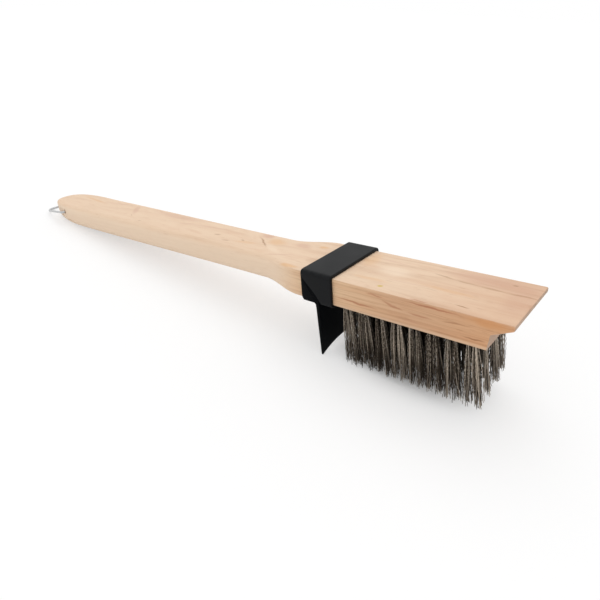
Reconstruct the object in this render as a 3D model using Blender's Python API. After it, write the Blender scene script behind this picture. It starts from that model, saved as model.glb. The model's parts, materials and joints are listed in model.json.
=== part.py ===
"""Grill brush: a wide wooden head and handle in one board, steel bristles, a black collar with a scraper
blade, and a wire loop to hang it by.

Metres, +Z up. Each piece is modelled along the brush's own axes, with the tip of the nose at x = 0, the
handle towards -X and the top of the board at z = 0. The empty "lying_pose" then lays the whole brush on
the floor, on the corners of its blade and the end of its handle.
"""

import math

import bmesh
import bpy
import numpy as np
from mathutils import Matrix, Vector

# Fits
touch_gap = 0.0003
cut_overrun = 0.004

# Board: head, neck, grip and rounded end
board_length = 0.4935
board_thickness = 0.019
head_width = 0.054
flare_start = 0.145
flare_length = 0.037
neck_width = 0.0434
grip_width = 0.0476
end_length = 0.0815
end_power = 2.6
end_rise = 0.008
end_rise_length = 0.055
head_edge_radius = 0.0008
grip_edge_radius = 0.008
end_top_radius = 0.0020
end_bottom_radius = 0.0070
edge_limit_share = 0.48

# Nose: the wedge at the front of the head
nose_tip_thickness = 0.0032
nose_root_thickness = 0.0091
nose_length = 0.0122
block_face_slant = 0.0015

# Tufts and the holes that hold them
tuft_columns = 8
tuft_rows = 4
tuft_pitch = 0.01195
tuft_row_inset = 0.0072
first_tuft_from_nose = 0.0246
tuft_hole_diameter = 0.0072
tuft_hole_depth = 0.012
tuft_recess = 0.0004
strands_per_tuft = 10
bristle_length = 0.0425
bristle_unevenness = 0.0022
nose_trim = 0.0015
strand_spread = 0.0014
fold_spread = 0.0007
side_lean = 0.0018
nose_lean = 0.0028
rear_lean = 0.0018
flat_depth = 0.0005
strand_root_share = 0.62
strand_taper_share = 0.36
strand_step_shares = (0.34, 0.68, 1.0)
spread_power = 1.6
golden_share = 0.618034

# Collar: a sleeve round the back of the head, recessed at its sides for the scraper's wings
collar_from_nose = 0.1146
collar_length = 0.0246
collar_top_wall = 0.0020
collar_bottom_wall = 0.0015
collar_side_wall = 0.0008
collar_panel_rise = 0.0012
collar_corner_radius = 0.0029
panel_edge_shares = ((-0.02, 0.18), (0.36, 0.565), (0.49, 0.71), (0.57, 0.83), (0.63, 0.905), (0.71, 0.96),
                     (0.80, 1.02))

# Scraper: blade, base plate and wings in one moulding
wing_thickness = 0.0006
wing_bottom_drop = 0.0010
wing_corner_radius = 0.0030
base_plate_thickness = 0.0016
base_plate_margin = 0.0015
base_plate_length = 0.0154
base_plate_end_inset = 0.0070
blade_from_collar_rear = 0.0114
blade_shoulder = 0.0011
blade_height = 0.0381
blade_lean = 0.0022
blade_top_thickness = 0.0026
blade_edge_thickness = 0.0014
blade_arch_height = 0.0054
blade_arch_power = 2.2

# Screws that hold scraper and collar from below
screw_spacing = 0.030
screw_from_collar_rear = 0.0062
screw_shank_diameter = 0.0034
screw_depth_in_wood = 0.0115
screw_head_diameter = 0.0074
screw_head_height = 0.0022
screw_slot_width = 0.0010
screw_slot_depth = 0.0011
screw_slot_share = 0.62
screw_tip_share = 0.5

# Hang loop of bent wire
loop_wire_diameter = 0.0022
loop_hole_from_end = 0.036
loop_hole_below_top = 0.0060
loop_reach = 0.049
loop_end_width = 0.036
loop_corner_radius = 0.015
loop_bend_radius = 0.0022
loop_tail_length = 0.012

# Number of flat steps on curves
edge_steps = 5
flare_steps = 8
grip_steps = 9
end_steps = 14
arch_steps = 14
corner_steps = 4
hole_sides = 12
screw_sides = 16
bend_steps = 5
loop_corner_steps = 7

half_head = head_width / 2
board_bottom = -board_thickness
tuft_row_spacing = (head_width - 2 * tuft_row_inset) / max(tuft_rows - 1, 1)
collar_front = -collar_from_nose
collar_rear = collar_front - collar_length
collar_inner_half = half_head + touch_gap
collar_recess_half = collar_inner_half + collar_side_wall
collar_outer_half = collar_recess_half + collar_panel_rise
collar_top = touch_gap + collar_top_wall
collar_bottom = board_bottom - touch_gap - collar_bottom_wall
wing_inner_half = collar_recess_half + touch_gap
wing_outer_half = wing_inner_half + wing_thickness
plate_top = collar_bottom - touch_gap
plate_bottom = plate_top - base_plate_thickness
blade_rear = collar_rear + blade_from_collar_rear
blade_bottom = plate_top - blade_height
screw_x = collar_rear + screw_from_collar_rear
screw_shank_radius = screw_shank_diameter / 2
screw_hole_radius = screw_shank_radius + touch_gap
loop_wire_radius = loop_wire_diameter / 2
loop_x = -(board_length - loop_hole_from_end)
loop_z = -loop_hole_below_top


def clear_scene():
    for item in list(bpy.data.objects):
        bpy.data.objects.remove(item, do_unlink=True)


def finish(name, colour, roughness, metallic):
    """A Principled material; colour is linear red, green, blue."""
    material = bpy.data.materials.new(name)
    material.use_nodes = True
    shader = material.node_tree.nodes["Principled BSDF"]
    shader.inputs["Base Color"].default_value = (*colour, 1.0)
    shader.inputs["Roughness"].default_value = roughness
    shader.inputs["Metallic"].default_value = metallic
    return material


def place(name, data, material, parent):
    """Put a mesh or curve in the scene under its name, carried by the lying pose."""
    item = bpy.data.objects.new(name, data)
    bpy.context.scene.collection.objects.link(item)
    item.parent = parent
    if material is not None:
        data.materials.append(material)
    return item


def mesh_from(name, points, faces):
    """A mesh from points and faces, with every face turned outwards."""
    mesh = bpy.data.meshes.new(name)
    mesh.from_pydata([tuple(map(float, point)) for point in points], [], faces)
    shape = bmesh.new()
    shape.from_mesh(mesh)
    bmesh.ops.recalc_face_normals(shape, faces=shape.faces)
    shape.to_mesh(mesh)
    shape.free()
    return mesh


def prism(name, outline, low, high, along):
    """An outline of two coordinates drawn out from low to high along 'x', 'y' or 'z'."""
    def lift(pair, depth):
        first, second = pair
        return {"x": (depth, first, second), "y": (first, depth, second), "z": (first, second, depth)}[along]

    count = len(outline)
    points = [lift(pair, low) for pair in outline] + [lift(pair, high) for pair in outline]
    faces = [tuple(range(count)), tuple(range(count, 2 * count))]
    faces += [(i, (i + 1) % count, count + (i + 1) % count, count + i) for i in range(count)]
    return mesh_from(name, points, faces)


def cylinders(name, places, sides):
    """Closed cylinders in one mesh; each place is (start, end, radius)."""
    shape = bmesh.new()
    for start, end, radius in places:
        axis = Vector(end) - Vector(start)
        turn = axis.to_track_quat("Z", "Y").to_matrix().to_4x4()
        middle = Matrix.Translation((Vector(start) + Vector(end)) / 2)
        bmesh.ops.create_cone(shape, cap_ends=True, segments=sides, radius1=radius, radius2=radius,
                              depth=axis.length, matrix=middle @ turn)
    mesh = bpy.data.meshes.new(name)
    shape.to_mesh(mesh)
    shape.free()
    return mesh


def combine(target, name, mesh, operation, parent):
    """Cut or fuse a helper solid into the target with a Boolean that stays live."""
    helper = place(name, mesh, None, parent)
    helper.hide_render = True
    helper.display_type = "WIRE"
    modifier = target.modifiers.new(name, "BOOLEAN")
    modifier.operation = operation
    modifier.object = helper
    modifier.solver = "EXACT"


def smooth_round(mesh, degrees):
    """Smooth shading with edges sharper than the angle kept crisp."""
    mesh.shade_smooth()
    mesh.set_sharp_from_angle(angle=math.radians(degrees))


def ease(share):
    """Smooth step from 0 to 1."""
    share = min(max(share, 0.0), 1.0)
    return share * share * (3 - 2 * share)


def board_half_width(behind_nose):
    """Half the board's width in plan: straight head, S-shaped flare, swelling grip, blunt oval end."""
    neck_at = flare_start + flare_length
    end_at = board_length - end_length
    if behind_nose <= neck_at:
        return half_head + (neck_width / 2 - half_head) * ease((behind_nose - flare_start) / flare_length)
    if behind_nose <= end_at:
        swell = ease((behind_nose - neck_at) / (end_at - neck_at))
        return neck_width / 2 + (grip_width - neck_width) / 2 * swell
    share = (behind_nose - end_at) / end_length
    return grip_width / 2 * max(0.0, 1 - share ** end_power) ** (1 / end_power)


def board_edge_radius(behind_nose, at_tip):
    """Radius of a long edge: almost sharp on the head, well rounded on the grip, at_tip at the handle's end."""
    on_grip = min(grip_edge_radius, edge_limit_share * board_thickness)
    past_grip = ease((behind_nose - (board_length - end_length)) / end_length)
    full = on_grip + (at_tip - on_grip) * past_grip
    return head_edge_radius + (full - head_edge_radius) * ease((behind_nose - flare_start) / flare_length)


def board_lift(behind_nose):
    """How far the underside has risen from its flat at the end of the grip, along a quarter ellipse."""
    share = (behind_nose - (board_length - end_rise_length)) / end_rise_length
    share = min(max(share, 0.0), 1.0)
    return end_rise * (1 - math.sqrt(1 - share * share))


def board_stations():
    """Distances behind the nose at which the plan outline has a point."""
    neck_at = flare_start + flare_length
    end_at = board_length - end_length
    flare = [flare_start + flare_length * i / flare_steps for i in range(flare_steps)]
    grip = [neck_at + (end_at - neck_at) * i / grip_steps for i in range(grip_steps)]
    end = [end_at + end_length * math.sin(math.pi / 2 * i / end_steps) for i in range(end_steps + 1)]
    return [0.0] + flare + grip + end


def board_rings():
    """Rings of points round the board: the plan outline drawn in along each rounded edge."""
    near = [(-s, -board_half_width(s), board_edge_radius(s, end_top_radius),
             board_edge_radius(s, end_bottom_radius)) for s in board_stations()]
    far = [(x, -y, upper, lower) for x, y, upper, lower in reversed(near[:-1])]
    table = np.array(near + far)
    outline, upper, lower = table[:, :2], table[:, 2:3], table[:, 3:]
    step = np.roll(outline, -1, axis=0) - outline
    step /= np.linalg.norm(step, axis=1, keepdims=True)
    inward_after = np.column_stack([-step[:, 1], step[:, 0]])
    middle = outline.mean(axis=0)
    if np.sum(inward_after * (middle - outline)) < 0:
        inward_after = -inward_after
    inward_before = np.roll(inward_after, 1, axis=0)
    along = np.sum(inward_before * inward_after, axis=1, keepdims=True)
    inward = (inward_before + inward_after) / (1 + along)
    rings = []
    for i in range(edge_steps + 1):
        angle = math.pi / 2 * (1 - i / edge_steps)
        flat = outline + inward * upper * (1 - math.cos(angle))
        rings.append(np.column_stack([flat, -upper * (1 - math.sin(angle))]))
    for i in range(edge_steps + 1):
        angle = math.pi / 2 * i / edge_steps
        flat = outline + inward * lower * (1 - math.cos(angle))
        lift = np.array([[board_lift(-x)] for x in flat[:, 0]])
        rings.append(np.column_stack([flat, board_bottom + lift + lower * (1 - math.sin(angle))]))
    return rings


def make_board(parent, material):
    rings = board_rings()
    count = len(rings[0])
    tip = count // 2
    faces = []
    for first in (0, (len(rings) - 1) * count):
        last = first + count - 1
        faces += [(first + i, first + i + 1, last - i - 1, last - i) for i in range(tip - 1)]
        faces.append((first + tip - 1, first + tip, first + tip + 1))
    for level in range(len(rings) - 1):
        for i in range(count):
            j = (i + 1) % count
            this, below = level * count, (level + 1) * count
            faces.append((this + i, this + j, below + j, below + i))
    mesh = mesh_from("wooden_board", np.concatenate(rings), faces)
    smooth_round(mesh, 35)
    board = place("wooden_board", mesh, material, parent)

    rise = (nose_root_thickness - nose_tip_thickness) / nose_length
    under_nose = [(cut_overrun, -nose_tip_thickness + rise * cut_overrun),
                  (-nose_length, -nose_root_thickness),
                  (-nose_length - block_face_slant, board_bottom),
                  (-nose_length - block_face_slant, board_bottom - cut_overrun),
                  (cut_overrun, board_bottom - cut_overrun)]
    wedge = prism("under_nose_cut", under_nose, -half_head - cut_overrun, half_head + cut_overrun, "y")
    combine(board, "under_nose_cut", wedge, "DIFFERENCE", parent)

    below, hole_end = board_bottom - cut_overrun, board_bottom + tuft_hole_depth
    blind = [((x, y, below), (x, y, hole_end), tuft_hole_diameter / 2) for x, y in tuft_centres().values()]
    combine(board, "tuft_hole_cut", cylinders("tuft_hole_cut", blind, hole_sides), "DIFFERENCE", parent)

    screw_top = board_bottom + screw_depth_in_wood + touch_gap
    bores = screw_bores(below, screw_top)
    reach = board_half_width(board_length - loop_hole_from_end) + cut_overrun
    bores.append(((loop_x, -reach, loop_z), (loop_x, reach, loop_z), loop_wire_radius + touch_gap))
    combine(board, "bore_cut", cylinders("bore_cut", bores, hole_sides), "DIFFERENCE", parent)


def screw_sides_y():
    return (-screw_spacing / 2, screw_spacing / 2)


def screw_bores(low, high):
    """The holes that the two screws pass through, as cylinders from low to high."""
    return [((screw_x, y, low), (screw_x, y, high), screw_hole_radius) for y in screw_sides_y()]


def tuft_centres():
    """Centre of each tuft, row 1 on the near side and column 1 at the nose."""
    return {(row + 1, column + 1): (-(first_tuft_from_nose + column * tuft_pitch),
                                    (row - (tuft_rows - 1) / 2) * tuft_row_spacing)
            for row in range(tuft_rows) for column in range(tuft_columns)}


def tuft_strands(row, column):
    """Rings of three points for each strand of a tuft, from its root to its tip.

    The end of the root plug is cut like a cake into one slice for each strand. A strand starts as a smaller
    copy of its slice, tapers, and bends away from the tuft's middle. The two halves of the folded bundle part
    along X, and the outer tufts lean outwards.
    """
    x, y = tuft_centres()[row, column]
    plug_radius = tuft_hole_diameter / 2 - touch_gap
    root_z = board_bottom + tuft_recess
    lean_y = side_lean * (2 * (row - 1) / max(tuft_rows - 1, 1) - 1)
    from_nose = (column - 1) / max(tuft_columns - 1, 1)
    lean_x = nose_lean + (rear_lean - nose_lean) * from_nose
    full_length = bristle_length + tuft_recess - nose_trim * (1 - from_nose)
    strands = []
    for k in range(strands_per_tuft):
        turns = [2 * math.pi * (k + side) / strands_per_tuft for side in (0, 1)]
        rim = [(plug_radius * math.cos(t), plug_radius * math.sin(t)) for t in turns]
        slice_corners = np.array([(0.0, 0.0)] + rim)
        middle = slice_corners.mean(axis=0)
        small = (slice_corners - middle) * strand_root_share
        order = (row * tuft_columns + column) * strands_per_tuft + k
        length = full_length - bristle_unevenness * ((order * golden_share) % 1)
        outward = middle / np.linalg.norm(middle)
        fold = np.array([math.copysign(fold_spread, middle[0]), 0.0])
        drift = outward * strand_spread + fold + np.array([lean_x, lean_y])
        rings = [np.column_stack([small + middle + (x, y), np.full(3, root_z)])]
        for share in strand_step_shares:
            flat = small * (1 - strand_taper_share * share) + middle + drift * share ** spread_power + (x, y)
            rings.append(np.column_stack([flat, np.full(3, root_z - length * share)]))
        strands.append(rings)
    return strands


def floor_line(board_points):
    """Slope and height of the floor under the brush, as z = height - slope * x in the brush's own frame.

    In front it touches the corners of the blade, or the bristles where they reach lower, which then end in a
    flat of flat_depth. At the back it touches the underside of the grip. For each point of the grip it takes
    the steepest line to anything in front, and of those the flattest holds.
    """
    strands = [rings for row, column in tuft_centres() for rings in tuft_strands(row, column)]
    tips = np.concatenate([rings[-1] for rings in strands])
    blade_corner = np.array([(blade_rear + blade_lean, 0.0, blade_bottom)])
    front = np.concatenate([tips + (0.0, 0.0, flat_depth), blade_corner])
    rear = board_points[board_points[:, 0] < collar_rear]
    slopes = (rear[:, None, 2] - front[None, :, 2]) / (front[None, :, 0] - rear[:, None, 0])
    slope = slopes.max(axis=1).min()
    height = (front[:, 2] + slope * front[:, 0]).min()
    return slope, height


def cut_on_floor(rings, slope, height):
    """Slide the points of a strand's end along the strand onto the floor if any of them is below it."""
    end, before = rings[-1], rings[-2]
    depth = height - slope * end[:, 0] - end[:, 2]
    if depth.max() <= 0:
        return rings
    along = (before - end).mean(axis=0)
    climb = along[2] + slope * along[0]
    return rings[:-1] + [end + np.outer(depth / climb, along)]


def make_tuft(row, column, slope, height, parent, material):
    """One bundle of strands on the plug that fills its hole."""
    x, y = tuft_centres()[row, column]
    plug_radius = tuft_hole_diameter / 2 - touch_gap
    root_z = board_bottom + tuft_recess
    deep_z = board_bottom + tuft_hole_depth - touch_gap
    count = strands_per_tuft
    turns = [2 * math.pi * k / count for k in range(count)]
    rim = [(x + plug_radius * math.cos(t), y + plug_radius * math.sin(t)) for t in turns]
    points = [(a, b, deep_z) for a, b in rim] + [(a, b, root_z) for a, b in rim] + [(x, y, root_z)]
    centre = 2 * count
    faces = [tuple(range(count))]
    faces += [(k, (k + 1) % count, count + (k + 1) % count, count + k) for k in range(count)]
    for k, rings in enumerate(tuft_strands(row, column)):
        rings = cut_on_floor(rings, slope, height)
        corners = (centre, count + k, count + (k + 1) % count)
        first = len(points)
        points += [tuple(point) for ring in rings for point in ring]
        outer = corners
        for level in range(len(rings)):
            inner = tuple(first + 3 * level + i for i in range(3))
            faces += [(outer[i], outer[(i + 1) % 3], inner[(i + 1) % 3], inner[i]) for i in range(3)]
            outer = inner
        faces.append(outer)
    name = f"tuft_r{row}_c{column}"
    place(name, mesh_from(name, points, faces), material, parent)


def rounded_box_outline(half_width, low, high, radius):
    """A rectangle with round corners, in width and height."""
    outline = []
    corners = ((half_width, high, 0), (-half_width, high, 1), (-half_width, low, 2), (half_width, low, 3))
    for side, level, quarter in corners:
        centre = (side - math.copysign(radius, side), level - radius if level == high else level + radius)
        for i in range(corner_steps + 1):
            angle = math.pi / 2 * (quarter + i / corner_steps)
            outline.append((centre[0] + radius * math.cos(angle), centre[1] + radius * math.sin(angle)))
    return outline


def panel_edge(offset):
    """The slanting lower edge of the collar's raised side panel, moved down and back by the offset."""
    span = collar_top - collar_bottom
    return [(collar_rear + share_x * collar_length - offset, collar_top - share_z * span - offset)
            for share_x, share_z in panel_edge_shares]


def make_collar(parent, material):
    outline = rounded_box_outline(collar_outer_half, collar_bottom, collar_top, collar_corner_radius)
    collar = place("collar", prism("collar", outline, collar_rear, collar_front, "x"), material, parent)
    inside = [(-collar_inner_half, board_bottom - touch_gap), (collar_inner_half, board_bottom - touch_gap),
              (collar_inner_half, touch_gap), (-collar_inner_half, touch_gap)]
    sleeve = prism("collar_inside_cut", inside, collar_rear - cut_overrun, collar_front + cut_overrun, "x")
    combine(collar, "collar_inside_cut", sleeve, "DIFFERENCE", parent)
    edge = panel_edge(0.0)
    low = collar_bottom - cut_overrun
    recess = [(collar_rear - cut_overrun, edge[0][1])] + edge[:-1]
    recess += [(edge[-1][0], low), (collar_rear - cut_overrun, low)]
    for side, name in ((-1, "near_recess_cut"), (1, "far_recess_cut")):
        ends = sorted((side * collar_recess_half, side * (collar_outer_half + cut_overrun)))
        combine(collar, name, prism(name, recess, *ends, "y"), "DIFFERENCE", parent)
    bores = cylinders("collar_bore_cut", screw_bores(collar_bottom - cut_overrun, board_bottom), hole_sides)
    combine(collar, "collar_bore_cut", bores, "DIFFERENCE", parent)
    smooth_round(collar.data, 35)


def wing_outline():
    """The scraper's side wing in side view: under the panel's edge, round at the back, into the blade."""
    front = blade_rear + blade_top_thickness
    edge = panel_edge(touch_gap)
    top = [point for point in edge if point[0] < front]
    top.append((front, float(np.interp(front, *zip(*edge)))))
    slope = (edge[1][1] - edge[0][1]) / (edge[1][0] - edge[0][0])
    bottom = collar_bottom + wing_bottom_drop
    centre = (collar_rear + wing_corner_radius, bottom + wing_corner_radius)
    turns = [math.pi / 2 * i / corner_steps for i in range(corner_steps + 1)]
    outline = [(collar_rear, edge[0][1] + slope * (collar_rear - edge[0][0]))]
    outline += [(centre[0] - wing_corner_radius * math.cos(a), centre[1] - wing_corner_radius * math.sin(a))
                for a in turns]
    outline += [(blade_rear - blade_shoulder, bottom), (blade_rear, bottom - blade_shoulder)]
    outline += [(blade_rear, plate_bottom), (front, plate_bottom)]
    return outline + top[:0:-1]


def blade_mesh():
    """The blade: a tapered sheet whose lower edge rises in an arch between two corner prongs."""
    half = wing_outer_half
    sides = [half * (2 * i / arch_steps - 1) for i in range(arch_steps + 1)]
    lower = [(y, blade_bottom + blade_arch_height * (1 - abs(y / half) ** blade_arch_power)) for y in sides]
    outline = lower + [(half, plate_top), (-half, plate_top)]

    def sheet(y, z, front):
        share = (plate_top - z) / blade_height
        thickness = blade_top_thickness + (blade_edge_thickness - blade_top_thickness) * share
        return (blade_rear + blade_lean * share + (thickness if front else 0.0), y, z)

    count = len(outline)
    points = [sheet(y, z, False) for y, z in outline] + [sheet(y, z, True) for y, z in outline]
    faces = [tuple(range(count)), tuple(range(count, 2 * count))]
    faces += [(i, (i + 1) % count, count + (i + 1) % count, count + i) for i in range(count)]
    return mesh_from("scraper", points, faces)


def make_scraper(parent, material):
    scraper = place("scraper", blade_mesh(), material, parent)
    rear, half = collar_rear + base_plate_margin, wing_outer_half - base_plate_end_inset
    front = rear + base_plate_length
    plan = [(rear, -half), (front, -half), (front, half), (rear, half)]
    plate = prism("base_plate_join", plan, plate_bottom, plate_top, "z")
    combine(scraper, "base_plate_join", plate, "UNION", parent)
    for side, name in ((-1, "near_wing_join"), (1, "far_wing_join")):
        ends = sorted((side * wing_inner_half, side * wing_outer_half))
        combine(scraper, name, prism(name, wing_outline(), *ends, "y"), "UNION", parent)
    bores = screw_bores(plate_bottom - cut_overrun, plate_top + cut_overrun)
    cutter = cylinders("scraper_bore_cut", bores, hole_sides)
    combine(scraper, "scraper_bore_cut", cutter, "DIFFERENCE", parent)


def make_screw(number, y, parent, material):
    """A round-head wood screw from below: its profile turned about its own axis."""
    name = f"scraper_screw_{number}"
    head_top = plate_bottom - touch_gap
    tip = board_bottom + screw_depth_in_wood
    head_radius = screw_head_diameter / 2
    dome = [(head_radius * math.cos(a), head_top - screw_head_height * math.sin(a))
            for a in (math.pi / 2 * i / corner_steps for i in range(corner_steps))]
    profile = [(screw_shank_radius * screw_tip_share, tip), (screw_shank_radius, tip - screw_shank_diameter),
               (screw_shank_radius, head_top)] + dome
    count = len(profile)
    points = [(screw_x + radius * math.cos(t), y + radius * math.sin(t), z)
              for t in (2 * math.pi * i / screw_sides for i in range(screw_sides)) for radius, z in profile]
    points += [(screw_x, y, tip), (screw_x, y, head_top - screw_head_height)]
    faces = []
    for i in range(screw_sides):
        this, following = i * count, (i + 1) % screw_sides * count
        faces += [(this + k, this + k + 1, following + k + 1, following + k) for k in range(count - 1)]
        faces.append((len(points) - 2, this, following))
        faces.append((len(points) - 1, following + count - 1, this + count - 1))
    mesh = mesh_from(name, points, faces)
    smooth_round(mesh, 40)
    screw = place(name, mesh, material, parent)
    arm, half = screw_slot_share * head_radius, screw_slot_width / 2
    cross = [(arm, -half), (arm, half), (half, half), (half, arm), (-half, arm), (-half, half),
             (-arm, half), (-arm, -half), (-half, -half), (-half, -arm), (half, -arm), (half, -half)]
    cross = [(screw_x + a, y + b) for a, b in cross]
    head_bottom = head_top - screw_head_height
    cutter = f"screw_slot_cut_{number}"
    slot = prism(cutter, cross, head_bottom - cut_overrun, head_bottom + screw_slot_depth, "z")
    combine(screw, cutter, slot, "DIFFERENCE", parent)


def arc(centre, radius, start, end, steps):
    """Points on a circle in plan from one angle to another, in degrees."""
    angles = (math.radians(start + (end - start) * i / steps) for i in range(steps + 1))
    return [(centre[0] + radius * math.cos(a), centre[1] + radius * math.sin(a)) for a in angles]


def loop_leg_half():
    """How far from the middle each leg of the loop starts: its bend begins outside the hole's mouth."""
    return board_half_width(board_length - loop_hole_from_end) + touch_gap + loop_bend_radius


def loop_path():
    """Half of the wire's middle line, from its tail in the hole to the middle of the end bar.

    It lies flat, with the hole's axis at x = 0 and the loop towards -X: out of the hole, round a small bend,
    along a leg that closes in, round the corner and along the end bar.
    """
    leg, end_half = loop_leg_half(), loop_end_width / 2
    closing = math.degrees(math.atan2(leg - end_half, loop_reach))
    bend_centre = (-loop_bend_radius, -leg + loop_bend_radius)
    bend = arc(bend_centre, loop_bend_radius, 0.0, -90.0 - closing, bend_steps)
    corner_x = -loop_reach + loop_corner_radius
    side = math.radians(closing)
    leg_line_y = -leg + loop_bend_radius * (1 - math.cos(side))
    leg_run = -corner_x - loop_bend_radius
    corner_y = leg_line_y + leg_run * math.tan(side) + loop_corner_radius * math.cos(side)
    corner = arc((corner_x, corner_y), loop_corner_radius, -90.0 - closing, -180.0, loop_corner_steps)
    return [(0.0, -leg + loop_tail_length)] + bend + corner


def make_loop(droop, parent, material):
    """The wire loop on an empty at its hole, drooping until its end lies on the floor."""
    hinge = bpy.data.objects.new("loop_hinge", None)
    bpy.context.scene.collection.objects.link(hinge)
    hinge.parent = parent
    hinge.location = (loop_x, 0.0, loop_z)
    hinge.rotation_euler = (0.0, -droop, 0.0)
    half = loop_path()
    path = half + [(x, -y) for x, y in reversed(half)]
    curve = bpy.data.curves.new("hang_loop", "CURVE")
    curve.dimensions = "3D"
    spline = curve.splines.new("POLY")
    spline.points.add(len(path) - 1)
    for point, (x, y) in zip(spline.points, path):
        point.co = (x, y, 0.0, 1.0)
    curve.bevel_depth = loop_wire_radius
    curve.bevel_resolution = 2
    curve.use_fill_caps = True
    place("hang_loop", curve, material, hinge)


def loop_droop(slope, height):
    """Angle below the handle's axis at which the end of the loop lies on the floor."""
    tilt = math.atan(slope)
    above = (loop_z - (height - slope * loop_x)) * math.cos(tilt)
    return math.asin((above - loop_wire_radius) / loop_reach) - tilt


def centre_on_floor(parent):
    """Move the lying pose so that the brush's box stands on z = 0 with its middle on the Z axis."""
    bpy.context.view_layer.update()
    seen = bpy.context.evaluated_depsgraph_get()
    corners = []
    for item in bpy.data.objects:
        if item.type in {"MESH", "CURVE"} and not item.hide_render:
            shape = item.evaluated_get(seen)
            mesh = shape.to_mesh()
            corners += [shape.matrix_world @ vertex.co for vertex in mesh.vertices]
            shape.to_mesh_clear()
    corners = np.array(corners)
    low, high = corners.min(axis=0), corners.max(axis=0)
    parent.location = (-(low[0] + high[0]) / 2, -(low[1] + high[1]) / 2, -low[2])


def main():
    clear_scene()
    wood = finish("pale_wood", (0.76, 0.56, 0.39), 0.55, 0.0)
    plastic = finish("black_plastic", (0.014, 0.014, 0.015), 0.45, 0.0)
    bristle_steel = finish("bristle_steel", (0.30, 0.28, 0.26), 0.38, 1.0)
    loop_steel = finish("loop_steel", (0.62, 0.62, 0.61), 0.25, 1.0)
    screw_steel = finish("screw_steel", (0.50, 0.50, 0.50), 0.35, 1.0)

    slope, height = floor_line(np.concatenate(board_rings()))
    lying = bpy.data.objects.new("lying_pose", None)
    bpy.context.scene.collection.objects.link(lying)
    lying.rotation_euler = (0.0, -math.atan(slope), 0.0)

    make_board(lying, wood)
    make_collar(lying, plastic)
    make_scraper(lying, plastic)
    for number, y in enumerate(screw_sides_y(), start=1):
        make_screw(number, y, lying, screw_steel)
    for row, column in tuft_centres():
        make_tuft(row, column, slope, height, lying, bristle_steel)
    make_loop(loop_droop(slope, height), lying, loop_steel)
    centre_on_floor(lying)


main()
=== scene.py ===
"""The looks of a wooden grill brush: grained wood, black moulded plastic, crimped steel wire and a bright
wire loop, laid on a pale floor in soft light.

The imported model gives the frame. Sizes are in metres. Pieces are worked out along the brush's own axes,
with the tip of the nose at x = 0, the handle towards -X, the top of the board at z = 0 and +Y across the
brush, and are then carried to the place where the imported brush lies.
"""

import json
import math

import bmesh
import bpy
import numpy as np
from mathutils import Matrix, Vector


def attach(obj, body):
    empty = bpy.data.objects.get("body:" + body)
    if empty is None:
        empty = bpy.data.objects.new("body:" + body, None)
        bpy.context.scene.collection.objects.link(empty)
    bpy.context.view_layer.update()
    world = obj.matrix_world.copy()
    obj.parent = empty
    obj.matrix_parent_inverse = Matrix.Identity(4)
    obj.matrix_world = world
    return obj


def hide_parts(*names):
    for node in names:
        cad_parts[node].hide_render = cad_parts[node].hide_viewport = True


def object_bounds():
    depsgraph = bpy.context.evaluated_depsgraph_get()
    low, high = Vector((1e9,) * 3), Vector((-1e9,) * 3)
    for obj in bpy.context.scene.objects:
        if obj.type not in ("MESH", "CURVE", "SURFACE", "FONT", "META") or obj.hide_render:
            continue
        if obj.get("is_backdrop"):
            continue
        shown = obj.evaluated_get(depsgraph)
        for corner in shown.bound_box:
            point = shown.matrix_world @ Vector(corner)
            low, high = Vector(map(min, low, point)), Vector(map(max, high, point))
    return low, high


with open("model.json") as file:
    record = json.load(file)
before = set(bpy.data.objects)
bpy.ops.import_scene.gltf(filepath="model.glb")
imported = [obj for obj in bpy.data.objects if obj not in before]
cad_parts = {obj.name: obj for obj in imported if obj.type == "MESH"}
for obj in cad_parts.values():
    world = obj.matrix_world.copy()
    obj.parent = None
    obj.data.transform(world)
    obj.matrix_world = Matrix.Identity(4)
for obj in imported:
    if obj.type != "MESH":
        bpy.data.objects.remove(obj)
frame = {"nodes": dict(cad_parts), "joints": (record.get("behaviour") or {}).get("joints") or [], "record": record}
cad_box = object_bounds()

bl_info = {
    "name": "Grill Brush Looks",
    "version": (1, 0, 0),
    "blender": (4, 5, 0),
    "location": "3D View > Sidebar > Grill Brush",
    "description": "Makes the finished pieces of a wooden grill brush, and a plain studio",
    "category": "Object",
}

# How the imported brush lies: the mount on the collar's top gives the brush's own axes
collar_mount_place = (-0.1269, 0.0, 0.0023)

# Board
end_length = 0.0815
end_power = 2.6
end_rise = 0.008
end_rise_length = 0.055
flare_start = 0.145
flare_length = 0.037
nose_tip_thickness = 0.0032
nose_root_thickness = 0.0091
nose_length = 0.0122
block_face_slant = 0.0015
end_top_radius = 0.0020
end_bottom_radius = 0.0070
edge_limit_share = 0.48
tip_rounding = 0.0008

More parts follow.
